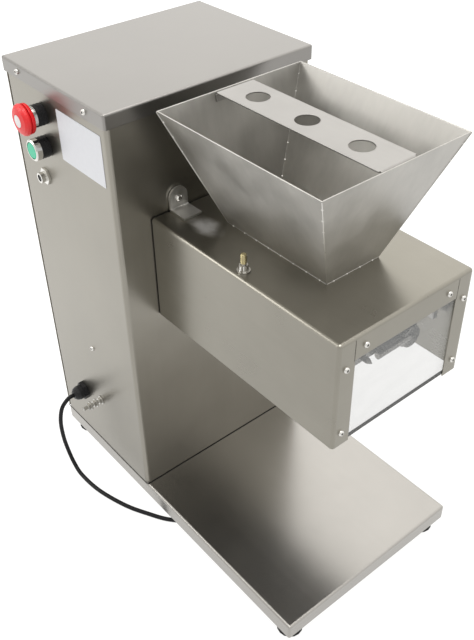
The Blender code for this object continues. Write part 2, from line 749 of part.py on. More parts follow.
def build_emergency_stop():
    """Latching mushroom head on a sliding stem, released by a twist."""
    place = side_panel(ESTOP_BACK, ESTOP_HEIGHT)
    pivot = place.translation
    make_part("estop_sleeve", moved(panel_barrel(PANEL_SLEEVE_LENGTH), place), "black_plastic")
    bezel_start = PANEL_SLEEVE_LENGTH + SEAT_GAP
    stem_radius = PANEL_BARREL_RADIUS * 0.62 - RUNNING_GAP
    make_part(
        "estop_bezel",
        moved(panel_bezel(bezel_start, ESTOP_BEZEL_LENGTH, stem_radius + RUNNING_GAP), place),
        "stainless_bright",
    )
    make_part("estop_contact_block", moved(contact_block(), place), "black_plastic")

    head_start = ESTOP_REACH - ESTOP_HEAD_LENGTH
    stem = [
        (0, -COLUMN_SHEET + SEAT_GAP),
        (stem_radius, -COLUMN_SHEET + SEAT_GAP),
        (stem_radius, head_start - SEAT_GAP),
        (stem_radius * 0.6, head_start - SEAT_GAP),
        (stem_radius * 0.6, head_start + ESTOP_HEAD_LENGTH * 0.5),
        (0, head_start + ESTOP_HEAD_LENGTH * 0.5),
    ]
    make_part("estop_stem", moved(turned(stem, 16), place), "red_plastic", pivot)

    bore = stem_radius * 0.6 + SEAT_GAP
    floor = head_start + ESTOP_HEAD_LENGTH * 0.5 + SEAT_GAP
    radius = ESTOP_HEAD_RADIUS
    disc_floor = ESTOP_REACH - ESTOP_DISC_DEPTH
    head = [
        (0, floor),
        (bore, floor),
        (bore, head_start),
        (radius * 0.62, head_start),
        (radius * 0.93, head_start + ESTOP_HEAD_LENGTH * 0.16),
        (radius, head_start + ESTOP_HEAD_LENGTH * 0.38),
        (radius * 0.95, head_start + ESTOP_HEAD_LENGTH * 0.66),
        (radius * 0.80, head_start + ESTOP_HEAD_LENGTH * 0.86),
        (ESTOP_DISC_RADIUS + 0.001, ESTOP_REACH),
        (ESTOP_DISC_RADIUS, disc_floor),
        (0, disc_floor),
    ]
    make_part("estop_head", moved(turned(head, 28), place), "red_plastic", pivot)


def build_start_button():
    """Flush green push button in a bright bezel."""
    place = side_panel(START_BACK, START_HEIGHT)
    pivot = place.translation
    make_part("start_sleeve", moved(panel_barrel(PANEL_SLEEVE_LENGTH), place), "black_plastic")
    bezel_start = PANEL_SLEEVE_LENGTH + SEAT_GAP
    inner = START_BUTTON_RADIUS + RUNNING_GAP
    bezel = panel_bezel(bezel_start, START_BEZEL_LENGTH, inner)
    make_part("start_bezel", moved(bezel, place), "stainless_bright")
    make_part("start_contact_block", moved(contact_block(), place), "black_plastic")
    stem_radius = PANEL_BARREL_RADIUS * 0.62 - RUNNING_GAP
    skirt = bezel_start + START_TRAVEL
    face = bezel_start + START_BEZEL_LENGTH
    button = [
        (0, SEAT_GAP),
        (stem_radius, SEAT_GAP),
        (stem_radius, skirt),
        (START_BUTTON_RADIUS, skirt),
        (START_BUTTON_RADIUS, face - 0.001),
        (START_BUTTON_RADIUS - 0.001, face),
        (0, face),
    ]
    make_part("start_button", moved(turned(button, 24), place), "green_plastic", pivot)


def build_reset_button():
    """Small overload reset button in a threaded barrel with its nut."""
    place = side_panel(RESET_BACK, RESET_HEIGHT)
    pivot = place.translation
    inner = RESET_BUTTON_RADIUS + RUNNING_GAP
    bottom = -0.018
    profile = [
        (inner, bottom),
        (RESET_NUT_RADIUS * 0.9, bottom),
        (RESET_NUT_RADIUS * 0.9, -COLUMN_SHEET - SEAT_GAP),
        (RESET_BARREL_RADIUS, -COLUMN_SHEET - SEAT_GAP),
        (RESET_BARREL_RADIUS, RESET_BARREL_REACH),
        (inner, RESET_BARREL_REACH),
    ]
    nut = hexagon_bar(RESET_NUT_RADIUS, RESET_NUT_LENGTH, RESET_BARREL_RADIUS - 0.0005)
    barrel = fused(turned(profile, 20, ring=True), moved(nut, at(0, 0, SEAT_GAP)))
    make_part("reset_barrel", moved(barrel, place), "stainless_bright")
    button = [
        (0, bottom + RESET_TRAVEL + 0.002),
        (RESET_BUTTON_RADIUS, bottom + RESET_TRAVEL + 0.002),
        (RESET_BUTTON_RADIUS, RESET_BUTTON_REACH - 0.0008),
        (RESET_BUTTON_RADIUS - 0.0008, RESET_BUTTON_REACH),
        (0, RESET_BUTTON_REACH),
    ]
    make_part("reset_button", moved(turned(button, 16), place), "black_plastic", pivot)


def build_side_hardware():
    """Earth stud with its nuts, and the cable gland, low on the left side."""
    place = side_panel(EARTH_STUD_BACK, EARTH_STUD_HEIGHT)
    inside = -COLUMN_SHEET - EARTH_NUT_LENGTH - 0.003
    stud = moved(cylinder(EARTH_STUD_RADIUS, EARTH_STUD_REACH - inside, 12), at(0, 0, inside))
    inner_nut = moved(
        hexagon_bar(EARTH_NUT_RADIUS, EARTH_NUT_LENGTH),
        at(0, 0, -COLUMN_SHEET - EARTH_NUT_LENGTH - SEAT_GAP),
    )
    stack = [stud, inner_nut]
    for index in range(EARTH_NUTS):
        start = SEAT_GAP + index * EARTH_NUT_PITCH
        stack.append(moved(cylinder(EARTH_WASHER_RADIUS, EARTH_WASHER_LENGTH, 16), at(0, 0, start)))
        nut_start = start + EARTH_WASHER_LENGTH / 2
        stack.append(moved(hexagon_bar(EARTH_NUT_RADIUS, EARTH_NUT_LENGTH), at(0, 0, nut_start)))
    make_part("earth_stud", moved(fused(*stack), place), "brass")

    place = side_panel(GLAND_BACK, GLAND_HEIGHT)
    bore = CORD_DIAMETER / 2 + SEAT_GAP
    body = turned(
        [
            (bore, -COLUMN_SHEET - 0.008),
            (GLAND_THREAD_RADIUS, -COLUMN_SHEET - 0.008),
            (GLAND_THREAD_RADIUS, SEAT_GAP),
            (GLAND_DOME_RADIUS, SEAT_GAP),
            (GLAND_DOME_RADIUS, GLAND_REACH * 0.62),
            (GLAND_DOME_RADIUS * 0.86, GLAND_REACH * 0.84),
            (GLAND_DOME_RADIUS * 0.55, GLAND_REACH),
            (bore, GLAND_REACH),
        ],
        16,
        ring=True,
    )
    flange = moved(hexagon_bar(GLAND_NUT_RADIUS, GLAND_NUT_LENGTH, bore), at(0, 0, SEAT_GAP))
    make_part("cable_gland", moved(fused(body, flange), place), "black_plastic")


def smooth_route(route, spacing):
    """Evenly spaced points on the cubic curve through hand-chosen route points."""
    knots = [Vector(point) for point in route]
    ends = [knots[0] * 2 - knots[1], *knots, knots[-1] * 2 - knots[-2]]
    dense = []
    for p0, p1, p2, p3 in zip(ends, ends[1:], ends[2:], ends[3:]):
        for step in range(16):
            t = step / 16
            a = (p1 * 3 - p2 * 3 + p3 - p0) * t ** 3
            b = (p0 * 2 - p1 * 5 + p2 * 4 - p3) * t ** 2
            dense.append((a + b + (p2 - p0) * t + p1 * 2) / 2)
    dense.append(knots[-1])
    points = [dense[0]]
    for point in dense[1:]:
        if (point - points[-1]).length >= spacing:
            points.append(point)
    points[-1] = dense[-1]
    return points


def make_cord_tube(name, points):
    """A plain tube along a list of points, with filled ends."""
    curve = bpy.data.curves.new(name, "CURVE")
    curve.dimensions = "3D"
    curve.bevel_depth = CORD_DIAMETER / 2
    curve.bevel_resolution = 2
    curve.use_fill_caps = True
    spline = curve.splines.new("POLY")
    spline.points.add(len(points) - 1)
    for target, point in zip(spline.points, points):
        target.co = (*point, 1.0)
    curve.materials.append(finish_material("black_rubber"))
    cord = bpy.data.objects.new(name, curve)
    bpy.context.scene.collection.objects.link(cord)
    cord.parent = bpy.data.objects["machine_frame"]
    return cord


def build_cord():
    """Supply cord from the gland, under the floor plate, to a neat coil and plug behind."""
    radius = CORD_DIAMETER / 2
    lying = radius + SEAT_GAP
    exit_x = LEFT_FACE - GLAND_REACH - SEAT_GAP
    exit_z = BASE_TOP + GLAND_HEIGHT
    outer_turn = COIL_MIDDLE_RADIUS + (COIL_TURNS_ABREAST - 1) * radius
    coil_outer = outer_turn + radius
    coil_inner = COIL_MIDDLE_RADIUS - COIL_TURNS_ABREAST * radius
    coil_x = COIL_CENTRE_X
    coil_y = COLUMN_DEPTH + COIL_BEHIND_COLUMN
    side_gap = math.sqrt((coil_outer + SEAT_GAP * 2) ** 2 - (outer_turn - radius) ** 2)
    route = [
        (exit_x, GLAND_BACK, exit_z),
        (exit_x - 0.010, GLAND_BACK, exit_z - 0.001),
        (exit_x - 0.024, GLAND_BACK, exit_z - 0.014),
        (exit_x - 0.031, GLAND_BACK, exit_z - 0.040),
        (exit_x - 0.032, GLAND_BACK - 0.001, exit_z - 0.072),
        (exit_x - 0.031, GLAND_BACK - 0.006, exit_z - 0.100),
        (exit_x - 0.031, GLAND_BACK - 0.022, exit_z - 0.124),
        (exit_x - 0.031, GLAND_BACK - 0.046, lying),
        (exit_x - 0.027, 0.075, lying),
        (exit_x - 0.012, 0.022, lying),
        (exit_x + 0.006, -0.016, lying),
        (exit_x + 0.028, -0.052, lying),
        (exit_x + 0.062, -0.082, lying),
        (exit_x + 0.105, -0.086, lying),
        (exit_x + 0.143, -0.060, lying),
        (exit_x + 0.166, -0.015, lying),
        (exit_x + 0.180, 0.050, lying),
        (coil_x - outer_turn - 0.004, 0.130, lying),
        (coil_x - outer_turn, 0.200, lying),
        (coil_x - outer_turn, coil_y - side_gap, lying),
    ]
    make_cord_tube("power_cord", smooth_route(route, CORD_DIAMETER * 2.2))

    height = COIL_LAYERS * CORD_DIAMETER
    chamfer = radius * 0.5
    ring = [
        (coil_inner, chamfer),
        (coil_inner + chamfer, 0),
        (coil_outer - chamfer, 0),
        (coil_outer, chamfer),
        (coil_outer, height - chamfer),
        (coil_outer - chamfer, height),
        (coil_inner + chamfer, height),
        (coil_inner, height - chamfer),
    ]
    coil = moved(turned(ring, 32, ring=True), at(coil_x, coil_y, SEAT_GAP))
    make_part("cord_coil", coil, "black_rubber")

    tail_x = coil_x + side_gap
    tail_y = coil_y + outer_turn
    plug_z = PLUG_THICKNESS / 2 + SEAT_GAP
    upper = lying + CORD_DIAMETER * (COIL_LAYERS - 1)
    tail = []
    for step in range(6):
        t = step / 5
        ease = t * t * (3 - 2 * t)
        tail.append((tail_x + CORD_TAIL_LENGTH * t * 0.85, tail_y, upper + (plug_z - upper) * ease))
    tail.append((tail_x + CORD_TAIL_LENGTH, tail_y, plug_z))
    make_cord_tube("cord_tail", tail)

    plug_x = tail_x + CORD_TAIL_LENGTH + SEAT_GAP
    make_part("power_plug", moved(plug_shape(), at(plug_x, tail_y, plug_z) @ FACING_RIGHT), "black_plastic")


def plug_shape():
    """Moulded three-pin plug along local Z, its cord entry at z = 0."""
    neck_length = PLUG_LENGTH * 0.38
    wide = PLUG_THICKNESS * 0.36
    neck = turned([(0, 0), (CORD_DIAMETER * 0.7, 0), (wide, neck_length * 1.1), (0, neck_length * 1.1)], 16)
    body = prism(rounded_rectangle(PLUG_WIDTH, PLUG_THICKNESS, PLUG_THICKNESS * 0.38), PLUG_LENGTH - neck_length)
    body = moved(softened(body, 0.0015, 1, 50), at(0, 0, neck_length))
    root = PLUG_LENGTH - 0.002
    tip = PLUG_LENGTH + PLUG_PIN_LENGTH
    blades = [block((x - 0.0008, -0.0052, root), (x + 0.0008, 0.0012, tip)) for x in (-0.00635, 0.00635)]
    earth = moved(cylinder(0.0024, tip - root, 10), at(0, 0.0070, root))
    return fused(neck, body, *blades, earth)


def front_screw_places():
    """Screws that hold the window, on the box's front flanges."""
    top = BOX_TOP_Z - TOP_SCREW_DROP
    upper = BOX_TOP_Z - SIDE_SCREW_UPPER_DROP
    lower = BOX_BOTTOM_Z + SIDE_SCREW_LOWER_RISE
    flange = BOX_WIDTH / 2 - SIDE_FLANGE_SCREW_INSET
    spots = [(TOP_SCREW_OFFSET, top), (flange, upper), (flange, lower)]
    return [at(side * x, -BOX_FRONT_REACH, z) @ FACING_FRONT for x, z in spots for side in (-1, 1)]


def build_box():
    """Folded cutting box, open below and behind, with its window."""
    half = BOX_WIDTH / 2
    shape = block((-half, -BOX_FRONT_REACH, BOX_BOTTOM_Z), (half, -BOX_COLUMN_GAP, BOX_TOP_Z))
    open_sides = [face for face in shape.faces if face.normal.z < -0.5 or face.normal.y > 0.5]
    bmesh.ops.delete(shape, geom=open_sides, context="FACES_ONLY")
    shape = thickened(softened(shape, BOX_BEND_RADIUS, segments=3), BOX_SHEET)

    throat_half = THROAT_WIDTH / 2 - HOPPER_SHEET
    throat = block(
        (-throat_half, -THROAT_FRONT + HOPPER_SHEET, BOX_TOP_Z - BOX_SHEET * 3),
        (throat_half, -THROAT_BACK - HOPPER_SHEET, BOX_TOP_Z + BOX_SHEET),
    )
    opening_half = half - WINDOW_SIDE_FLANGE
    opening_top = BOX_TOP_Z - WINDOW_TOP_FLANGE
    front = -BOX_FRONT_REACH
    window_opening = block(
        (-opening_half, front - BOX_SHEET, BOX_BOTTOM_Z - BOX_SHEET),
        (opening_half, front + BOX_SHEET * 2.5, opening_top),
    )
    cutters = [throat, window_opening]
    for side in (-1, 1):
        slit = side * (opening_half + CORNER_SLIT)
        cutters.append(
            block(
                (slit - CORNER_SLIT / 2, front - BOX_SHEET, opening_top - BOX_SHEET),
                (slit + CORNER_SLIT / 2, front + BOX_SHEET * 2.5, BOX_TOP_Z - BOX_BEND_RADIUS),
            )
        )
        stud_hole = cylinder(WING_STUD_RADIUS + RUNNING_GAP, BOX_SHEET * 4, 16)
        cutters.append(moved(stud_hole, at(side * WING_OFFSET, -WING_BACK, BOX_TOP_Z - BOX_SHEET * 2)))
    for cutter in cutters:
        shape = cut(shape, cutter)
    shape = fused(shape, repeated(screw_head, front_screw_places()))
    make_part("box_cover", shape, "stainless_sheet")

    pane_width = BOX_WIDTH - 2 * (BOX_BEND_RADIUS + SEAT_GAP)
    pane_low = BOX_BOTTOM_Z + WINDOW_MARGIN / 2
    pane_high = BOX_TOP_Z - BOX_BEND_RADIUS - WINDOW_MARGIN / 4
    pane = prism(rounded_rectangle(pane_width, pane_high - pane_low, 0.003, 2), WINDOW_THICKNESS)
    pane = softened(pane, 0.0004, 1, 60)
    back = front + BOX_SHEET + SEAT_GAP + WINDOW_THICKNESS
    make_part("window", moved(pane, at(0, back, (pane_low + pane_high) / 2) @ FACING_FRONT), "clear_acrylic")


def hopper_loop(height, inset):
    """Corners of the hopper's outline at a height, moved inward by a level inset on each wall."""
    rise = (height - BOX_TOP_Z) / (RIM_Z - BOX_TOP_Z)
    half = (THROAT_WIDTH + (RIM_WIDTH - THROAT_WIDTH) * rise) / 2
    front = -(THROAT_FRONT + (RIM_FRONT - THROAT_FRONT) * rise)
    back = -(THROAT_BACK + (RIM_BACK - THROAT_BACK) * rise)
    side_inset, front_inset, back_inset = inset
    return [
        (-half + side_inset, front + front_inset, height),
        (half - side_inset, front + front_inset, height),
        (half - side_inset, back - back_inset, height),
        (-half + side_inset, back - back_inset, height),
    ]


def hopper_insets():
    """Level thickness of the side, front and back walls, from the sheet and each wall's slope."""
    height = RIM_Z - BOX_TOP_Z
    leans = ((RIM_WIDTH - THROAT_WIDTH) / 2, RIM_FRONT - THROAT_FRONT, THROAT_BACK - RIM_BACK)
    return tuple(HOPPER_SHEET * math.hypot(1, lean / height) for lean in leans)


def ring_of_loops(loops):
    """A closed tube of quads from loop to loop and back to the first."""
    shape = bmesh.new()
    rings = [[shape.verts.new(point) for point in loop] for loop in loops]
    for ring, following in zip(rings, rings[1:] + rings[:1]):
        for i in range(len(ring)):
            shape.faces.new((ring[i - 1], ring[i], following[i], following[i - 1]))
    bmesh.ops.recalc_face_normals(shape, faces=shape.faces[:])
    return shape


def build_hopper():
    """Tapered feed hopper and the drilled strip that divides its mouth."""
    insets = hopper_insets()
    bottom = BOX_TOP_Z + SEAT_GAP
    none = (0.0, 0.0, 0.0)
    walls = ring_of_loops(
        [hopper_loop(bottom, none), hopper_loop(RIM_Z, none), hopper_loop(RIM_Z, insets), hopper_loop(bottom, insets)]
    )
    make_part("hopper", walls, "hopper_sheet")

    gap = tuple(inset + SEAT_GAP * 1.2 for inset in insets)
    tab_z = RIM_Z - STRIP_END_TAB
    top_loop, tab_loop = hopper_loop(RIM_Z, gap), hopper_loop(tab_z, gap)
    front_top, back_top = top_loop[0][1], top_loop[2][1]
    front_tab, back_tab = tab_loop[0][1], tab_loop[2][1]
    outline = folded_strip(
        [(back_tab, tab_z), (back_top, RIM_Z), (front_top, RIM_Z), (front_tab, tab_z)],
        STRIP_SHEET * 1.6,
        STRIP_SHEET,
        2,
    )
    strip = moved(prism(outline, STRIP_WIDTH), at(-STRIP_WIDTH / 2, 0, 0) @ FACING_RIGHT)
    holes = []
    for index in (-1, 0, 1):
        hole = cylinder(STRIP_HOLE_RADIUS, STRIP_SHEET * 4, 28)
        y = -STRIP_MIDDLE_HOLE + index * STRIP_HOLE_PITCH
        holes.append(moved(hole, at(0, y, RIM_Z - STRIP_SHEET * 2.5)))
    half, notch = STRIP_WIDTH / 2, STRIP_CORNER_NOTCH
    for x in (-half, half):
        for y in (front_top, back_top):
            low = (x - notch * 0.7, y - notch, RIM_Z - notch)
            high = (x + notch * 0.7, y + notch, RIM_Z + notch)
            holes.append(block(low, high))
    make_part("divider_strip", cut(strip, joined(holes)), "stainless_sheet")


def build_brackets():
    """Two round-topped angle brackets and the screws that hang the box on the column."""
    back = -BRACKET_STAND_OFF
    front = back - BRACKET_SHEET - BRACKET_FOOT
    low = BOX_TOP_Z + SEAT_GAP
    high = BOX_TOP_Z + BRACKET_RISE
    half = BRACKET_WIDTH / 2
    screw_z = BOX_TOP_Z + BRACKET_SCREW_RISE
    for side, name in ((-1, "left"), (1, "right")):
        x = side * BRACKET_OFFSET
        angle = folded_strip([(front, low), (back, low), (back, high)], BRACKET_SHEET * 1.4, BRACKET_SHEET, 3)
        bracket = moved(prism(angle, BRACKET_WIDTH), at(x - half, 0, 0) @ FACING_RIGHT)
        crown = circle(half, 24, (0.0, high - half))[:13]
        mask = [(half, low - BRACKET_SHEET), *crown, (-half, low - BRACKET_SHEET)]
        mask = moved(prism(mask, BRACKET_FOOT * 2), at(x, 0.010, 0) @ FACING_FRONT)
        bracket = combined(bracket, mask, "INTERSECT")
        bore = cylinder(BRACKET_SCREW_RADIUS + SEAT_GAP, BRACKET_SHEET * 2, 12)
        bore = moved(bore, at(x, back + BRACKET_SHEET / 2, screw_z) @ FACING_FRONT)
        make_part(name + "_bracket", cut(bracket, bore), "stainless_sheet")

        seat = back - BRACKET_SHEET - SEAT_GAP
        screw = turned(
            [
                (0, -BRACKET_SCREW_LENGTH),
                (BRACKET_SCREW_RADIUS, -BRACKET_SCREW_LENGTH),
                (BRACKET_SCREW_RADIUS, 0),
                (BRACKET_SCREW_HEAD_RADIUS, 0),
                (BRACKET_SCREW_HEAD_RADIUS, BRACKET_SCREW_HEAD_HEIGHT / 2),
                (BRACKET_SCREW_HEAD_RADIUS * 0.65, BRACKET_SCREW_HEAD_HEIGHT),
                (0, BRACKET_SCREW_HEAD_HEIGHT),
            ],
            12,
        )
        screw = moved(screw, at(x, seat, screw_z) @ FACING_FRONT)
        make_part(name + "_bracket_screw", screw, "stainless_bright")


def wing_nut():
    """Wing nut with a washer foot, its seat at z = 0."""
    bore = WING_STUD_RADIUS + SEAT_GAP
    hub = turned(
        [
            (bore, 0),
            (WING_WASHER_RADIUS, 0),
            (WING_WASHER_RADIUS, WING_WASHER_HEIGHT),
            (WING_HUB_RADIUS, WING_WASHER_HEIGHT),
            (WING_HUB_RADIUS * 0.86, WING_HUB_HEIGHT),
            (bore, WING_HUB_HEIGHT),
        ],
        18,
        ring=True,
    )
    half = WING_SPAN / 2
    root = (WING_HUB_RADIUS + bore) / 2
    base = WING_WASHER_HEIGHT + 0.0005
    tip = circle(WING_HEIGHT * 0.22, 12, (half - WING_HEIGHT * 0.22, WING_HEIGHT * 0.78), math.radians(-60))[:8]
    outline = [(root, base), (WING_HUB_RADIUS * 1.3, base), *tip, (root, WING_HUB_HEIGHT * 0.9)]
    wings = []
    for turn in (0, 180):
        wing = moved(prism(outline, WING_THICKNESS), at(0, WING_THICKNESS / 2, 0) @ FACING_FRONT)
        wings.append(moved(wing, Matrix.Rotation(math.radians(turn), 4, "Z")))
    return fused(hub, *wings)


def build_wing_nuts():
    """The two wing nuts on the box, each free to spin on its stud."""
    for side, name, turn in ((-1, "left", WING_TURN), (1, "right", -WING_TURN)):
        pivot = (side * WING_OFFSET, -WING_BACK, BOX_TOP_Z + SEAT_GAP)
        nut = moved(wing_nut(), at(*pivot) @ Matrix.Rotation(math.radians(turn), 4, "Z"))
        make_part(name + "_wing_nut", nut, "stainless_bright", pivot)


def build_support_frame():
    """Back plate and two rails inside the box, with the studs that the wing nuts clamp on."""
    half = WING_OFFSET + RAIL_WIDTH / 2
    plate_low = SHAFT_Z - RAIL_PLATE_HEIGHT * 0.55
    plate_high = SHAFT_Z + RAIL_PLATE_HEIGHT * 0.45
    back = -SEAT_GAP
    front = back - RAIL_PLATE_THICKNESS
    middle = (plate_low + plate_high) / 2
    bore = COUPLING_RADIUS + RUNNING_GAP * 2
    holes = [circle(bore, 24, (x, SHAFT_Z - middle)) for x in (-SHAFT_X, SHAFT_X)]
    plate = prism(rounded_rectangle(half * 2, RAIL_PLATE_HEIGHT, 0.008, 3), RAIL_PLATE_THICKNESS, holes)
    plate = moved(plate, at(0, back, middle) @ FACING_FRONT)
    pieces = []
    for side in (-1, 1):
        x = side * WING_OFFSET
        rail = block(
            (x - RAIL_WIDTH / 2, -RAIL_FRONT_REACH, RAIL_TOP_Z - RAIL_HEIGHT),
            (x + RAIL_WIDTH / 2, front + 0.001, RAIL_TOP_Z),
        )
        pieces.append(softened(rail, 0.001, 1))
        stud_start = RAIL_TOP_Z - 0.003
        stud = cylinder(WING_STUD_RADIUS, BOX_TOP_Z + WING_STUD_RISE - stud_start, 14)
        pieces.append(moved(stud, at(x, -WING_BACK, stud_start)))
        for z in (plate_low + 0.014, plate_high - 0.014):
            bolt = hexagon_bar(0.0065, 0.005)
            pieces.append(moved(bolt, at(side * (half - 0.022), front + 0.001, z) @ FACING_FRONT))
    make_part("support_frame", fused(plate, *pieces), "stainless_sheet")


def cassette_outline():
    """Cassette end plate seen from the front, about the shafts' height, resting on the rails."""
    body = WING_OFFSET - RAIL_WIDTH / 2 - 0.001
    ear = CASSETTE_EAR_WIDTH / 2
    rest = RAIL_TOP_Z + SEAT_GAP - SHAFT_Z
    low, high = -CASSETTE_PLATE_DROP, CASSETTE_PLATE_RISE
    shoulder = rest - 0.006
    toe = SHAFT_X + 0.012
    right = [(toe, low), (body, shoulder), (body, rest), (ear, rest), (ear, high - 0.008), (ear - 0.008, high)]
    return right + [(-x, z) for x, z in reversed(right)]


def cassette_plate(extra_holes=()):
    """One end plate from local z = 0, with its two shaft bores."""
    bores = [circle(SHAFT_RADIUS + RUNNING_GAP, 20, (x, 0.0)) for x in (-SHAFT_X, SHAFT_X)]
    return prism(cassette_outline(), CASSETTE_PLATE, (*bores, *extra_holes))


def build_cassette():
    """End plates, tie rods, stripper combs, bearing caps and the locking lever."""
    rod_z = SHAFT_Z + CASSETTE_PLATE_RISE * 0.62
    rear = moved(cassette_plate(), at(0, CASSETTE_REAR_FACE, SHAFT_Z) @ FACING_FRONT)
    rods = []
    rod_start = CASSETTE_REAR_FACE - CASSETTE_PLATE / 2
    rod_length = CASSETTE_FRONT - CASSETTE_REAR + CASSETTE_PLATE + 0.001
    for x in (-TIE_ROD_OFFSET, TIE_ROD_OFFSET):
        rods.append(moved(cylinder(TIE_ROD_RADIUS, rod_length, 12), at(x, rod_start, rod_z) @ FACING_FRONT))
    make_part("rear_cassette_plate", fused(rear, *rods), "knife_steel")

    rod_bore = TIE_ROD_RADIUS + SEAT_GAP
    rod_holes = [circle(rod_bore, 12, (x, rod_z - SHAFT_Z)) for x in (-TIE_ROD_OFFSET, TIE_ROD_OFFSET)]
    front = moved(cassette_plate(rod_holes), at(0, CASSETTE_FRONT_FACE, SHAFT_Z) @ FACING_FRONT)
    lock_z = SHAFT_Z - LOCK_DROP
    lobe = cylinder(LOCK_DISC_RADIUS + 0.002, CASSETTE_PLATE, 28)
    lobe = moved(lobe, at(LOCK_OFFSET, CASSETTE_FRONT_FACE, lock_z) @ FACING_FRONT)
    pin_length = CASSETTE_PLATE + LOCK_PIN_REACH
    pin = turned([(0, 0), (LOCK_PIN_RADIUS, 0), (LOCK_PIN_RADIUS, pin_length * 0.7), (0, pin_length)], 12)
    pin_x, pin_z = -LOCK_OFFSET * 0.53, SHAFT_Z - CASSETTE_PLATE_DROP + 0.008
    pin = moved(pin, at(pin_x, CASSETTE_FRONT_FACE - 0.001, pin_z) @ FACING_FRONT)
    make_part("front_cassette_plate", fused(front, lobe, pin), "knife_steel")

    plate_front = CASSETTE_FRONT_FACE - CASSETTE_PLATE - SEAT_GAP
    recess = SHAFT_RADIUS + RUNNING_GAP
    total = BEARING_CAP_LENGTH + BEARING_CAP_HUB_LENGTH
    cap = [
        (0, BEARING_CAP_LENGTH * 0.7),
        (recess, BEARING_CAP_LENGTH * 0.7),
        (recess, 0),
        (BEARING_CAP_RADIUS, 0),
        (BEARING_CAP_RADIUS, BEARING_CAP_LENGTH - 0.001),
        (BEARING_CAP_RADIUS - 0.001, BEARING_CAP_LENGTH),
        (BEARING_CAP_HUB_RADIUS, BEARING_CAP_LENGTH),
        (BEARING_CAP_HUB_RADIUS * 0.85, total),
        (0, total),
    ]
    for side, name in ((-1, "left"), (1, "right")):
        place = at(side * SHAFT_X, plate_front, SHAFT_Z) @ FACING_FRONT
        make_part(name + "_bearing_cap", moved(turned(cap, 20), place), "knife_steel")

    pivot = (LOCK_OFFSET, plate_front, lock_z)
    disc = softened(cylinder(LOCK_DISC_RADIUS, LOCK_DISC_THICKNESS, 28), 0.0008, 1, 60)
    bolt = moved(hexagon_bar(0.0050, 0.004), at(0, 0, LOCK_DISC_THICKNESS - 0.001))
    rod = cylinder(LOCK_ROD_RADIUS, LOCK_ROD_LENGTH, 14)
    toward_left = Matrix.Rotation(math.radians(-90), 4, "Y")
    rod = moved(rod, at(-0.004, LOCK_ROD_RADIUS * 0.6, LOCK_ROD_RADIUS + SEAT_GAP) @ toward_left)
    lever = moved(fused(disc, bolt, rod), at(*pivot) @ FACING_FRONT)
    make_part("lock_lever", lever, "knife_steel", pivot)


def knife_start(index, side):
    """Where a knife begins in front of the column; the right shaft's knives lie between the left's."""
    shift = KNIFE_PITCH / 2 if side > 0 else 0.0
    return KNIFE_REAR + shift + index * KNIFE_PITCH


def knife_shaft(side):
    """Shaft with its stack of round knives and spacers, along local Z from the coupling forward."""
    thickness = KNIFE_PITCH / 2 - KNIFE_SIDE_GAP
    flange_start = COUPLING_FRONT + SEAT_GAP
    flange_end = flange_start + 0.005
    stack_start = CASSETTE_REAR + CASSETTE_PLATE + 0.001
    stack_end = CASSETTE_FRONT - 0.001
    profile = [
        (0, flange_start),
        (COUPLING_RADIUS * 0.9, flange_start),
        (COUPLING_RADIUS * 0.9, flange_end),
        (SHAFT_RADIUS, flange_end),
        (SHAFT_RADIUS, stack_start),
        (KNIFE_HUB_RADIUS, stack_start),
    ]
    for index in range(KNIFE_COUNT):
        start = knife_start(index, side)
        end = start + thickness
        profile += [
            (KNIFE_HUB_RADIUS, start),
            (KNIFE_RADIUS, start),
            (KNIFE_RADIUS, end),
            (KNIFE_HUB_RADIUS, end),
        ]
    profile += [
        (KNIFE_HUB_RADIUS, stack_end),
        (SHAFT_RADIUS, stack_end),
        (SHAFT_RADIUS, CASSETTE_FRONT + CASSETTE_PLATE + 0.003),
        (0, CASSETTE_FRONT + CASSETTE_PLATE + 0.003),
    ]
    tongue_half = COUPLING_TONGUE / 2
    reach = COUPLING_RADIUS * 0.8
    tongue = block(
        (-tongue_half, -reach, flange_start - COUPLING_TONGUE_DEPTH + 0.0005),
        (tongue_half, reach, flange_start + 0.001),
    )
    return fused(turned(profile, KNIFE_FACETS), tongue)


def stripper_comb(side):
    """Comb whose teeth reach between the knives to the spacers, drawn in plan."""
    thickness = KNIFE_PITCH / 2 - KNIFE_SIDE_GAP
    gap = KNIFE_PITCH - thickness
    inset = gap * 0.12
    tip = SHAFT_X + KNIFE_HUB_RADIUS + 0.0015
    bar = COMB_OUTER - COMB_BAR
    start = CASSETTE_REAR + CASSETTE_PLATE + SEAT_GAP
    end = CASSETTE_FRONT - SEAT_GAP
    outline = [(COMB_OUTER, -start), (bar, -start)]
    for index in range(KNIFE_COUNT - 1):
        low = knife_start(index, side) + thickness + inset
        high = knife_start(index + 1, side) - inset
        outline += [(bar, -low), (tip, -low), (tip, -high), (bar, -high)]
    outline += [(bar, -end), (COMB_OUTER, -end)]
    return prism([(side * x, y) for x, y in outline], COMB_HEIGHT)


def build_knives():
    """The two knife shafts and their combs."""
    for side, name in ((-1, "left"), (1, "right")):
        pivot = (side * SHAFT_X, 0.0, SHAFT_Z)
        shaft = moved(knife_shaft(side), at(*pivot) @ FACING_FRONT)
        make_part(name + "_knife_shaft", shaft, "knife_steel", pivot)
        comb = moved(stripper_comb(side), at(0, 0, SHAFT_Z - COMB_HEIGHT / 2))
        make_part(name + "_comb", comb, "knife_steel")


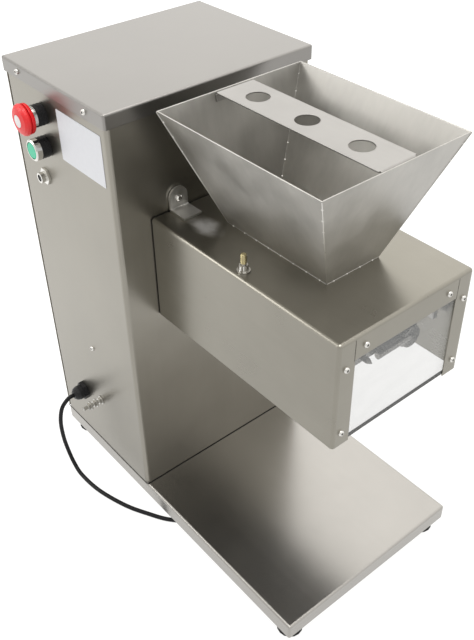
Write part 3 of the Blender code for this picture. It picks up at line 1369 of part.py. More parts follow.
def gear_outline(phase):
    """Trapezoidal gear teeth round a pitch circle of half the shaft spacing."""
    module = SHAFT_SPACING / GEAR_TEETH
    pitch_radius = SHAFT_SPACING / 2
    tip = pitch_radius + module - GEAR_TIP_GAP
    root = pitch_radius - module * 1.25
    slope = math.tan(math.radians(20))
    thick = math.pi * module / 2 - GEAR_BACKLASH
    tip_half = (thick / 2 - (tip - pitch_radius) * slope) / tip
    root_half = (thick / 2 + (pitch_radius - root) * slope) / root
    points = []
    for tooth in range(GEAR_TEETH):
        middle = math.tau * (tooth + phase) / GEAR_TEETH
        for radius, turn in ((root, -root_half), (tip, -tip_half), (tip, tip_half), (root, root_half)):
            points.append((radius * math.cos(middle + turn), radius * math.sin(middle + turn)))
    return points


def gear_plate(spacers):
    """Bearing plate behind the column's front, from local z = 0 backward."""
    outline = rounded_rectangle(GEAR_PLATE_WIDTH, GEAR_PLATE_HEIGHT, GEAR_PLATE_CORNER, 4)
    plate = prism(outline, GEAR_PLATE)
    boss_start = -BEARING_BOSS_RISE if spacers else GEAR_PLATE / 2
    pieces = []
    for x in (-SHAFT_X, SHAFT_X):
        boss = cylinder(BEARING_RADIUS, GEAR_PLATE / 2 + BEARING_BOSS_RISE, 20)
        pieces.append(moved(boss, at(x, 0, boss_start)))
    if spacers:
        across = GEAR_PLATE_WIDTH / 2 - GEAR_SPACER_INSET
        up = GEAR_PLATE_HEIGHT / 2 - GEAR_SPACER_INSET
        length = GEAR_PLATE_SPACE - SEAT_GAP
        for x in (-across, across):
            for y in (-up, up):
                column = cylinder(GEAR_SPACER_RADIUS, length + 0.001, 12)
                pieces.append(moved(column, at(x, y, -length)))
    plate = fused(plate, *pieces)
    for x in (-SHAFT_X, SHAFT_X):
        bore = cylinder(GEAR_SHAFT_RADIUS + RUNNING_GAP, GEAR_PLATE * 3, 20)
        plate = cut(plate, moved(bore, at(x, 0, -GEAR_PLATE)))
    return plate


def build_gears():
    """Bearing plates, gear shafts and the equal gears that counter-rotate the knives."""
    front = moved(gear_plate(False), at(0, GEAR_PLATE_FRONT, SHAFT_Z) @ FACING_BACK)
    make_part("front_gear_plate", front, "cast_grey")
    rear = moved(gear_plate(True), at(0, GEAR_PLATE_REAR, SHAFT_Z) @ FACING_BACK)
    make_part("rear_gear_plate", rear, "cast_grey")

    rear_end = {-1: PULLEY_BACK + PULLEY_FACE * 0.75, 1: GEAR_PLATE_REAR + GEAR_PLATE + 0.003}
    for side, name in ((-1, "left"), (1, "right")):
        pivot = (side * SHAFT_X, 0.0, SHAFT_Z)
        shaft = turned(
            [
                (0, -COUPLING_FRONT),
                (COUPLING_RADIUS, -COUPLING_FRONT),
                (COUPLING_RADIUS, -0.0005),
                (GEAR_SHAFT_RADIUS, -0.0005),
                (GEAR_SHAFT_RADIUS, rear_end[side]),
                (0, rear_end[side]),
            ],
            24,
        )
        slot_half = COUPLING_TONGUE / 2 + SEAT_GAP
        slot = block(
            (-slot_half, -COUPLING_RADIUS * 2, -COUPLING_FRONT - 0.001),
            (slot_half, COUPLING_RADIUS * 2, -COUPLING_FRONT + COUPLING_TONGUE_DEPTH),
        )
        shaft = moved(cut(shaft, slot), at(*pivot) @ FACING_BACK)
        make_part(name + "_gear_shaft", shaft, "knife_steel", pivot)

        phase = 0.0 if side < 0 else 0.5
        bore = circle(GEAR_SHAFT_RADIUS + SEAT_GAP, 20)
        gear = prism(gear_outline(phase), GEAR_FACE, (bore,))
        gear = moved(gear, at(side * SHAFT_X, GEAR_FRONT, SHAFT_Z) @ FACING_BACK)
        make_part(name + "_gear", gear, "cast_grey", pivot)


def pulley(radius, bore, facets):
    """Grooved pulley about local Z, centred on its groove."""
    face = PULLEY_FACE / 2
    groove = radius - BELT_SINK - SEAT_GAP * 1.4
    groove_half = BELT_WIDTH / 2 + SEAT_GAP
    rim = groove - 0.005
    hub = bore + 0.008
    web = 0.003
    half = [(radius, face), (radius, groove_half + 0.0012), (groove, groove_half)]
    outer = half + [(r, -z) for r, z in reversed(half)]
    if rim > hub + 0.006:
        hub_face = face - 0.001
        lower = [(bore, -hub_face), (hub, -hub_face), (hub, -web), (rim, -web), (rim, -face)]
        upper = [(r, -z) for r, z in reversed(lower)]
        profile = [*lower, *reversed(outer), *upper]
    else:
        profile = [(bore, -face), *reversed(outer), (bore, face)]
    return turned(profile, facets, ring=True)


def belt_loop(offset):
    """Points of the belt's run round both pulleys, at an offset outside its inner side."""
    top_radius = DRIVEN_PULLEY_RADIUS - BELT_SINK + offset
    low_radius = MOTOR_PULLEY_RADIUS - BELT_SINK + offset
    distance = SHAFT_Z - MOTOR_Z
    lean = math.asin((top_radius - low_radius) / distance)
    points = []
    for radius, centre, start, end, steps in (
        (top_radius, 0.0, -lean, math.pi + lean, 22),
        (low_radius, -distance, math.pi + lean, math.tau - lean, 14),
    ):
        for step in range(steps + 1):
            angle = start + (end - start) * step / steps
            points.append((radius * math.cos(angle), centre + radius * math.sin(angle)))
    return points


def build_belt_drive():
    """Driven pulley on the left gear shaft, motor pulley below it and the belt between."""
    driven = (-SHAFT_X, PULLEY_BACK, SHAFT_Z)
    wheel = pulley(DRIVEN_PULLEY_RADIUS, GEAR_SHAFT_RADIUS + SEAT_GAP, 24)
    make_part("driven_pulley", moved(wheel, at(*driven) @ FACING_BACK), "cast_grey", driven)
    motor = (MOTOR_X, PULLEY_BACK, MOTOR_Z)
    wheel = pulley(MOTOR_PULLEY_RADIUS, MOTOR_SHAFT_RADIUS + SEAT_GAP, 20)
    make_part("motor_pulley", moved(wheel, at(*motor) @ FACING_BACK), "cast_grey", motor)
    belt = prism(belt_loop(BELT_THICKNESS), BELT_WIDTH, (belt_loop(0.0),))
    place = at(-SHAFT_X, PULLEY_BACK + BELT_WIDTH / 2, SHAFT_Z) @ FACING_FRONT
    make_part("v_belt", moved(belt, place), "black_rubber")


def motor_outline():
    """Outline of the motor's finned housing."""
    points = []
    for fin in range(MOTOR_FINS):
        middle = math.tau * fin / MOTOR_FINS
        half = math.tau / MOTOR_FINS / 2
        valley = MOTOR_RADIUS - MOTOR_FIN_DEPTH
        for radius, turn in ((valley, -0.55), (MOTOR_RADIUS, -0.28), (MOTOR_RADIUS, 0.28), (valley, 0.55)):
            angle = middle + turn * half
            points.append((radius * math.cos(angle), radius * math.sin(angle)))
    return points


def build_motor():
    """Foot-mounted motor with its fan cover, standing on a plate inside the column."""
    axis = at(MOTOR_X, MOTOR_FRONT, MOTOR_Z) @ FACING_BACK
    bore = MOTOR_SHAFT_RADIUS + RUNNING_GAP
    plate_top = BASE_TOP + SEAT_GAP + MOTOR_PLATE
    middle_y = MOTOR_FRONT + MOTOR_LENGTH / 2
    plate = prism(rounded_rectangle(MOTOR_PLATE_WIDTH, MOTOR_PLATE_LENGTH, 0.006, 3), MOTOR_PLATE)
    make_part("motor_plate", moved(plate, at(MOTOR_X, middle_y, BASE_TOP + SEAT_GAP)), "cast_grey")

    housing = prism(motor_outline(), MOTOR_LENGTH, (circle(bore, 16),))
    shield = turned(
        [
            (bore, -MOTOR_SHIELD_LENGTH),
            (MOTOR_BEARING_RADIUS, -MOTOR_SHIELD_LENGTH),
            (MOTOR_BEARING_RADIUS, -MOTOR_SHIELD_LENGTH * 0.5),
            (MOTOR_RADIUS * 0.82, -MOTOR_SHIELD_LENGTH * 0.3),
            (MOTOR_RADIUS * 0.82, MOTOR_SHIELD_LENGTH * 0.2),
            (bore, MOTOR_SHIELD_LENGTH * 0.2),
        ],
        24,
        ring=True,
    )
    body = moved(fused(housing, shield), axis)
    extras = []
    foot_top = MOTOR_Z - MOTOR_RADIUS * 0.62
    for side in (-1, 1):
        x = MOTOR_X + side * MOTOR_PLATE_WIDTH * 0.36
        foot = block(
            (x - MOTOR_FOOT_WIDTH / 2, MOTOR_FRONT + 0.012, plate_top + SEAT_GAP),
            (x + MOTOR_FOOT_WIDTH / 2, MOTOR_FRONT + MOTOR_LENGTH - 0.012, foot_top),
        )
        extras.append(foot)
    box_half = TERMINAL_BOX_WIDTH / 2
    box_low = MOTOR_Z + MOTOR_RADIUS * 0.7
    terminal = block(
        (MOTOR_X - box_half, middle_y - box_half, box_low),
        (MOTOR_X + box_half, middle_y + box_half, MOTOR_Z + MOTOR_RADIUS + TERMINAL_BOX_HEIGHT),
    )
    extras.append(softened(terminal, 0.004, 1))
    make_part("motor_body", fused(body, *extras), "motor_paint")

    rear = MOTOR_LENGTH + SEAT_GAP
    sheet = 0.0015
    outer = MOTOR_RADIUS + sheet
    cover = turned(
        [
            (MOTOR_RADIUS - sheet, rear),
            (outer, rear),
            (outer, rear + FAN_COVER_LENGTH * 0.85),
            (outer * 0.9, rear + FAN_COVER_LENGTH),
            (MOTOR_BEARING_RADIUS * 0.6, rear + FAN_COVER_LENGTH),
            (MOTOR_BEARING_RADIUS * 0.6, rear + FAN_COVER_LENGTH - sheet),
            (outer * 0.9 - sheet, rear + FAN_COVER_LENGTH - sheet),
            (MOTOR_RADIUS - sheet, rear + FAN_COVER_LENGTH * 0.82),
        ],
        24,
        ring=True,
    )
    make_part("motor_fan_cover", moved(cover, axis), "motor_paint")

    pivot = (MOTOR_X, MOTOR_FRONT, MOTOR_Z)
    front_end = PULLEY_BACK - PULLEY_FACE * 0.7 - MOTOR_FRONT
    fan = rear + FAN_COVER_LENGTH * 0.3
    shaft = turned(
        [
            (0, front_end),
            (MOTOR_SHAFT_RADIUS, front_end),
            (MOTOR_SHAFT_RADIUS, fan),
            (MOTOR_RADIUS * 0.75, fan),
            (MOTOR_RADIUS * 0.75, fan + 0.008),
            (MOTOR_SHAFT_RADIUS, fan + 0.008),
            (MOTOR_SHAFT_RADIUS, fan + 0.014),
            (0, fan + 0.014),
        ],
        20,
    )
    make_part("motor_shaft", moved(shaft, axis), "knife_steel", pivot)


def main():
    """Build every sub-assembly in order."""
    clear_scene()
    make_frame()
    build_base()
    build_column()
    build_emergency_stop()
    build_start_button()
    build_reset_button()
    build_side_hardware()
    build_cord()
    build_box()
    build_hopper()
    build_brackets()
    build_wing_nuts()
    build_support_frame()
    build_cassette()
    build_knives()
    build_gears()
    build_belt_drive()
    build_motor()


main()
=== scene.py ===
"""The meat cutting machine, dressed: sheet finishes, small trim, supply cord, floor, lights and camera."""

import logging
import math
from dataclasses import dataclass
from enum import Enum
from typing import Any, Callable, Iterable, Sequence

import bmesh
import bpy
from mathutils import Matrix, Vector


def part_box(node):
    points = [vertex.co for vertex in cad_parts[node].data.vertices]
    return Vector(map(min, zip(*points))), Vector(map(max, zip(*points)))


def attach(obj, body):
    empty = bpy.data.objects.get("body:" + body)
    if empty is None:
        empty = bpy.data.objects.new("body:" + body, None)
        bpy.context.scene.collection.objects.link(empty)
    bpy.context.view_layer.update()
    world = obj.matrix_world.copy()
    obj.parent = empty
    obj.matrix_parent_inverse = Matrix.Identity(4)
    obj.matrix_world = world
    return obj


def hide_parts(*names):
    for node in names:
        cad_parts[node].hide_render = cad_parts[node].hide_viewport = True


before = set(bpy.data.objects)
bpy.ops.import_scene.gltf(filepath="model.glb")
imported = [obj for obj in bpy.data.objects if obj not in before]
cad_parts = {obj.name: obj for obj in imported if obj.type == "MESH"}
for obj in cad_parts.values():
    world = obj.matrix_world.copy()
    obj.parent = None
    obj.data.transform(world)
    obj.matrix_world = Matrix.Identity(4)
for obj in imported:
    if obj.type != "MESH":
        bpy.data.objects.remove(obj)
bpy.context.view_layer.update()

LOG = logging.getLogger("meat_cutter")

Point = tuple[float, float, float]
Colour = tuple[float, float, float]


class Value:
    """A shader socket that takes part in Python arithmetic by adding Math nodes."""

    def __init__(self, graph: "Graph", socket: bpy.types.NodeSocket) -> None:
        """Keep the socket and the graph that it belongs to."""
        self.graph = graph
        self.socket = socket

    def __add__(self, other: "Value | float") -> "Value":
        """The sum of both."""
        return self.graph.math("ADD", self, other)

    __radd__ = __add__

    def __sub__(self, other: "Value | float") -> "Value":
        """This less the other."""
        return self.graph.math("SUBTRACT", self, other)

    def __rsub__(self, other: float) -> "Value":
        """The other less this."""
        return self.graph.math("SUBTRACT", other, self)

    def __mul__(self, other: "Value | float") -> "Value":
        """The product of both."""
        return self.graph.math("MULTIPLY", self, other)

    __rmul__ = __mul__

    def clamped(self, low: float, high: float) -> "Value":
        """The value kept between two numbers."""
        return self.graph.math("MINIMUM", self.graph.math("MAXIMUM", self, low), high)


class Nodes:
    """A node tree that is emptied and then built by method calls."""

    def __init__(self, tree: bpy.types.NodeTree) -> None:
        """Take over a tree.

        Args:
            tree: The node tree; what it holds is removed.
        """
        self.tree = tree
        self.tree.nodes.clear()

    def node(self, kind: str, settings: dict[str, Any] | None = None, **sockets: Any) -> bpy.types.Node:
        """Add one node, set it up and feed its sockets.

        Args:
            kind: The node's type name.
            settings: Properties to set first; "stops" fills a colour ramp.
            sockets: Values, Value objects or sockets, by socket name with underscores for spaces,
                or by s0, s1 and so on for a place in the list.

        Returns:
            The node.
        """
        made = self.tree.nodes.new(kind)
        for key, value in (settings or {}).items():
            if key == "stops":
                self.fill_ramp(made, value)
            else:
                setattr(made, key, value)
        for name, value in sockets.items():
            key = int(name[1:]) if name[0] == "s" and name[1:].isdigit() else name.replace("_", " ")
            self.feed(made.inputs[key], value)
        return made

    def fill_ramp(self, ramp: bpy.types.Node, stops: Sequence[tuple[float, float]]) -> None:
        """Give a colour ramp grey stops.

        Args:
            ramp: The ramp node.
            stops: Pairs of place and grey level.
        """
        elements = ramp.color_ramp.elements
        while len(elements) < len(stops):
            elements.new(0.5)
        for element, (place, level) in zip(elements, stops):
            element.position = place
            element.color = (level, level, level, 1.0)

    def feed(self, target: bpy.types.NodeSocket, value: Any) -> None:
        """Link a socket or set its value."""
        if isinstance(value, Value):
            value = value.socket
        if isinstance(value, bpy.types.NodeSocket):
            self.tree.links.new(value, target)
        elif isinstance(value, tuple) and len(value) == 3 and target.type == "RGBA":
            target.default_value = (*value, 1.0)
        else:
            target.default_value = value

    def math(self, operation: str, *values: "Value | float") -> Value:
        """A Math node of one operation on values."""
        made = self.node("ShaderNodeMath", {"operation": operation})
        for target, value in zip(made.inputs, values):
            self.feed(target, value)
        return Value(self, made.outputs[0])

    def axes(self, kind: str = "Object") -> tuple["Value", "Value", "Value"]:
        """The three coordinates of one kind as values."""
        coords = self.node("ShaderNodeTexCoord")
        split = self.node("ShaderNodeSeparateXYZ", {}, Vector=coords.outputs[kind])
        return tuple(Value(self, output) for output in split.outputs)

    def noise(self, scale: Point | float, detail: float = 2.0, roughness: float = 0.5) -> Value:
        """Noise from 0 to 1 over object coordinates, scaled evenly or along each axis."""
        along = scale if isinstance(scale, tuple) else (scale, scale, scale)
        coords = self.node("ShaderNodeTexCoord")
        place = self.node("ShaderNodeMapping", {}, Vector=coords.outputs["Object"], Scale=along)
        sockets = {"Vector": place.outputs[0], "Scale": 1.0, "Detail": detail, "Roughness": roughness}
        return Value(self, self.node("ShaderNodeTexNoise", **sockets).outputs["Fac"])

    def ramp(self, value: Value, stops: Sequence[tuple[float, float]]) -> Value:
        """A grey ramp of a value."""
        made = self.node("ShaderNodeValToRGB", {"stops": stops}, Fac=value)
        return Value(self, made.outputs[0])

    def blended(self, factor: Value, first: Any, second: Any) -> bpy.types.NodeSocket:
        """A colour between two colours."""
        made = self.node("ShaderNodeMix", {"data_type": "RGBA"}, s0=factor, s6=first, s7=second)
        return made.outputs[2]


class Graph(Nodes):
    """The node tree of one material, with its Principled BSDF and output."""

    def __init__(self, name: str) -> None:
        """Make an empty material of that name with a shader and an output.

        Args:
            name: The material's name.
        """
        self.material = bpy.data.materials.new(name)
        self.material.use_nodes = True
        super().__init__(self.material.node_tree)
        self.shader = self.node("ShaderNodeBsdfPrincipled")
        self.node("ShaderNodeOutputMaterial", {}, Surface=self.shader.outputs[0])

    def bump(self, height: Value, depth: float, edge: float = 0.0) -> None:
        """Feed a height through a Bump node into the shader's normal.

        Args:
            height: The height, in units of the depth.
            depth: The height of one unit in metres.
            edge: The radius to which sharp edges look rounded, in metres.
        """
        made = self.node("ShaderNodeBump", {}, Height=height, Distance=depth)
        if edge:
            rounded = self.node("ShaderNodeBevel", {"samples": 4}, Radius=edge)
            self.feed(made.inputs["Normal"], rounded.outputs[0])
        self.feed(self.shader.inputs["Normal"], made.outputs[0])

    def varied(self, factor: Value, colour: Colour, low: float, high: float) -> bpy.types.NodeSocket:
        """A colour whose gain a factor takes from low to high."""
        return self.blended(factor, tinted(colour, low), tinted(colour, high))

    def set(self, **sockets: Any) -> None:
        """Set or link the shader's sockets, named with underscores for spaces."""
        for name, value in sockets.items():
            self.feed(self.shader.inputs[name.replace("_", " ")], value)


class Surroundings(Nodes):
    """Soft studio surroundings: bright overhead and to the right, dimmer low on the left."""

    def __init__(self, name: str, colour: Colour, strength: float) -> None:
        """Make the world and set it.

        Args:
            name: The world's name.
            colour: The light's colour.
            strength: The brightest level.
        """
        self.world = bpy.data.worlds.new(name)
        self.world.use_nodes = True
        super().__init__(self.world.node_tree)
        across, back, up = self.axes("Generated")
        lift = up * 0.40 + across * 0.18 + back * 0.06 + 0.36
        level = self.ramp(lift, ((0.0, 0.42), (0.36, 0.60), (0.66, 1.0)))
        light = self.node("ShaderNodeBackground", {}, Color=colour, Strength=level * strength)
        self.node("ShaderNodeOutputWorld", {}, Surface=light.outputs[0])
        bpy.context.scene.world = self.world


def tinted(colour: Colour, gain: float) -> Colour:
    """A colour made lighter or darker by a gain."""
    return tuple(min(1.0, channel * gain) for channel in colour)


class Grain(Enum):
    """The direction in which a sheet was brushed."""

    ALONG_X = (0, 1, 1)
    ALONG_Y = (1, 0, 1)
    ALONG_Z = (1, 1, 0)

    def stretch(self, along: float, across: float) -> Point:
        """Noise scale that draws lines in this direction."""
        return tuple(across if crossing else along for crossing in self.value)


@dataclass(frozen=True)
class Machine:
    """Main sizes in metres, in the machine's own frame, and where that frame stands in the row."""

    column_width: float = 0.330
    column_depth: float = 0.245
    base_top: float = 0.048
    cap_top: float = 0.691
    box_width: float = 0.225
    box_front: float = 0.345
    box_top: float = 0.530
    box_bottom: float = 0.373
    rim_z: float = 0.6915

    @property
    def shift(self) -> Vector:
        """The row's place of the machine frame's origin, from the base plate and the column shell."""
        low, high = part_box("column_shell")
        return Vector(((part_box("base_plate")[0].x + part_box("base_plate")[1].x) / 2, low.y, 0.0))

    def at(self, x: float, y: float, z: float) -> Vector:
        """A machine-frame point in the row frame."""
        return Vector((x, y, z)) + self.shift


MACHINE = Machine()


@dataclass(frozen=True)
class ScuffAndHighlight:
    """A rubbed patch on one node's sheet, duller than the sheet round it, and paler by a painted highlight."""

    node: str
    middle: Point
    reach: Point
    # The patch's paler colour is a painted highlight.
    colour: Colour
    extra_roughness: float = 0.26

    def mask(self, graph: Graph) -> Value:
        """How far the sheet is rubbed and carries the painted highlight, from 0 to 1.

        Args:
            graph: The material's graph.

        Returns:
            The mask.
        """
        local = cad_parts[self.node].matrix_world.inverted() @ MACHINE.at(*self.middle)
        ragged = graph.noise((70.0, 38.0, 60.0), 4.0, 0.62)
        spread = (ragged - 0.5) * 1.5
        for coordinate, centre, reach in zip(graph.axes(), local, self.reach):
            offset = (coordinate - centre) * (1.0 / reach)
            spread = spread + offset * offset
        return graph.ramp(1.0 - spread, ((0.0, 0.0), (0.45, 0.30), (1.0, 0.95)))


@dataclass(frozen=True)
class SheetFinish:
    """Satin stainless sheet: fine grain, faint clouds, handling marks and a slight waviness."""

    name: str
    colour: Colour
    roughness: float
    grain: Grain
    cloud: float = 0.06
    haze: float = 0.10
    wave: float = 0.25
    patch: float = 11.0
    edge: float = 0.0012
    scuff_and_highlight: ScuffAndHighlight | None = None

    def material(self) -> bpy.types.Material:
        """Build the material."""
        graph = Graph(self.name)
        broad = graph.noise(self.grain.stretch(4.0, 150.0), 2.0, 0.5)
        cloud = graph.noise(self.patch, 3.0, 0.55)
        drift = graph.noise((self.patch * 0.35, self.patch * 0.35, self.patch * 0.5), 2.0, 0.5)
        marks = graph.ramp(graph.noise((31.0, 34.0, 29.0), 4.0, 0.65), ((0.60, 0.0), (0.80, 1.0)))
        tone = (0.5 + (broad - 0.5) * 0.35 + (cloud - 0.5) * 1.6 + (drift - 0.5) * 1.1).clamped(0.0, 1.0)
        colour = graph.varied(tone, self.colour, 1.0 - self.cloud, 1.0 + self.cloud)
        rough = self.roughness + (broad - 0.5) * 0.03 + (cloud - 0.5) * self.haze + marks * 0.02
        if self.scuff_and_highlight:
            rub_and_highlight = self.scuff_and_highlight.mask(graph)
            rough = rough + rub_and_highlight * self.scuff_and_highlight.extra_roughness
            # The patch's paler colour is a painted highlight; its added roughness is a real rubbed surface.
            colour = graph.blended(rub_and_highlight, colour, self.scuff_and_highlight.colour)
        graph.set(Base_Color=colour, Roughness=rough.clamped(0.08, 0.9), Metallic=1.0)
        sway = graph.noise(6.0, 1.0, 0.4)
        graph.bump(sway * self.wave + cloud * (self.wave * 0.10), 0.001, self.edge)
        return graph.material


@dataclass(frozen=True)
class MetalFinish:
    """Machined or polished metal with a turned or cast surface."""

    name: str
    colour: Colour
    roughness: float
    grit: float = 260.0
    depth: float = 0.00005
    spread: float = 0.08
    metallic: float = 1.0

    def material(self) -> bpy.types.Material:
        """Build the material."""
        graph = Graph(self.name)
        grit = graph.noise(self.grit, 4.0, 0.6)
        cloud = graph.noise(45.0, 2.0, 0.5)
        colour = graph.varied(cloud, self.colour, 0.9, 1.08)
        rough = self.roughness + (grit - 0.5) * self.spread + (cloud - 0.5) * self.spread
        graph.set(Base_Color=colour, Roughness=rough.clamped(0.05, 0.95), Metallic=self.metallic)
        graph.bump(grit, self.depth)
        return graph.material


@dataclass(frozen=True)
class MouldedFinish:
    """Moulded plastic or rubber: fine texture, slight colour drift and worn sheen."""

    name: str
    colour: Colour
    roughness: float
    texture: float = 900.0
    depth: float = 0.00003
    coat: float = 0.0
    shine: float = 0.5

    def material(self) -> bpy.types.Material:
        """Build the material."""
        graph = Graph(self.name)
        fine = graph.noise(self.texture, 2.0, 0.5)
        cloud = graph.noise(30.0, 3.0, 0.6)
        colour = graph.varied(cloud, self.colour, 0.86, 1.16)
        rough = self.roughness + (cloud - 0.5) * 0.16 + (fine - 0.5) * 0.06
        graph.set(Base_Color=colour, Roughness=rough.clamped(0.05, 0.95), Coat_Weight=self.coat)
        graph.set(Specular_IOR_Level=self.shine)
        graph.bump(fine, self.depth)
        return graph.material


@dataclass(frozen=True)
class AcrylicFinish:
    """Clear acrylic sheet with faint wiping haze."""

    name: str = "acrylic"
    colour: Colour = (0.42, 0.43, 0.43)

    def material(self) -> bpy.types.Material:
        """Build the material."""
        graph = Graph(self.name)
        haze = graph.noise((25.0, 25.0, 120.0), 3.0, 0.6)
        graph.set(Base_Color=self.colour, Metallic=0.0, IOR=1.49)
        graph.set(Roughness=(0.03 + haze * 0.05), Alpha=(0.20 + haze * 0.08))
        return graph.material


@dataclass(frozen=True)
class PaperFinish:
    """Bare white film with a faint mottle, as an unprinted plate."""

    name: str = "plate_film"
    colour: Colour = (0.57, 0.58, 0.61)

    def material(self) -> bpy.types.Material:
        """Build the material."""
        graph = Graph(self.name)
        mottle = graph.noise(160.0, 3.0, 0.6)
        colour = graph.varied(mottle, self.colour, 0.94, 1.04)
        graph.set(Base_Color=colour, Roughness=(0.38 + mottle * 0.12))
        graph.bump(mottle, 0.00004)
        return graph.material


# A rubbed patch on the box top: rougher sheet, with a painted highlight in its paler colour.
BOX_SCUFF_AND_HIGHLIGHT = ScuffAndHighlight("box_cover", (-0.070, -0.062, 0.530), (0.020, 0.034, 0.006), (0.50, 0.495, 0.485))


class Finishes:
    """Every finish on the machine, each built once."""

    KINDS: tuple[Any, ...] = (
        SheetFinish("side_sheet", (0.292, 0.278, 0.244), 0.33, Grain.ALONG_Z),
        SheetFinish("base_sheet", (0.372, 0.360, 0.338), 0.25, Grain.ALONG_Y, 0.05, 0.06),
        SheetFinish("cap_sheet", (0.272, 0.263, 0.250), 0.33, Grain.ALONG_X, 0.05),
        SheetFinish("box_sheet", (0.270, 0.257, 0.222), 0.29, Grain.ALONG_Y, 0.07, scuff_and_highlight=BOX_SCUFF_AND_HIGHLIGHT),
        SheetFinish("hopper_sheet", (0.43, 0.42, 0.395), 0.43, Grain.ALONG_Z, 0.20, 0.30, 1.3, 13.0),
        SheetFinish("strip_sheet", (0.328, 0.319, 0.305), 0.38, Grain.ALONG_Y, 0.07, 0.12, 0.3, 20.0),
        SheetFinish("inner_sheet", (0.42, 0.41, 0.39), 0.30, Grain.ALONG_X),
        MetalFinish("bracket_steel", (0.74, 0.73, 0.70), 0.36, 240.0, 0.00006, 0.16),
        MetalFinish("weld_steel", (0.66, 0.65, 0.62), 0.34, 300.0, 0.00010, 0.16),
        MetalFinish("zinc_yellow", (0.46, 0.40, 0.23), 0.26, 500.0, 0.00003),
        MetalFinish("bright_steel", (0.66, 0.65, 0.62), 0.17, 500.0, 0.00002),
        MetalFinish("dark_steel", (0.09, 0.088, 0.082), 0.36, 500.0, 0.00003),
        MetalFinish("knife_steel", (0.26, 0.25, 0.235), 0.28, 700.0, 0.00003, 0.12),
        MetalFinish("cast_iron", (0.23, 0.235, 0.24), 0.52, 420.0, 0.00018, 0.12, 0.85),
        MouldedFinish("motor_paint", (0.13, 0.19, 0.23), 0.42, 380.0, 0.00010, 0.15),
        MouldedFinish("black_plastic", (0.011, 0.011, 0.012), 0.38, shine=0.24),
        MouldedFinish("black_rubber", (0.008, 0.008, 0.008), 0.60, 500.0, 0.00006, shine=0.16),
        MouldedFinish("cord_sheath", (0.006, 0.006, 0.007), 0.30, 260.0, 0.00003, shine=0.20),
        MouldedFinish("red_plastic", (0.60, 0.008, 0.011), 0.38, 700.0, 0.00002),
        MouldedFinish("green_plastic", (0.015, 0.46, 0.26), 0.36, 700.0, 0.00002),
        MouldedFinish("pale_plastic", (0.62, 0.60, 0.60), 0.40, 700.0, 0.00002),
        MetalFinish("plated_steel", (0.50, 0.49, 0.465), 0.16, 500.0, 0.00003),
        AcrylicFinish(),
        PaperFinish(),
    )

    def __init__(self) -> None:
        """List the finishes by name, with nothing built."""
        self.kinds = {kind.name: kind for kind in self.KINDS}
        self.made: dict[str, bpy.types.Material] = {}

    def __getitem__(self, name: str) -> bpy.types.Material:
        """The material of a finish."""
        if name not in self.made:
            self.made[name] = self.kinds[name].material()
        return self.made[name]


FINISHES = Finishes()


class Slot(Enum):
    """Names of the record's material slots; the pieces here take their finishes by key instead."""

    BRIGHT = "stainless_bright"
    HOPPER = "hopper_sheet"
    PLASTIC = "black_plastic"
    RUBBER = "black_rubber"
    RED = "red_plastic"


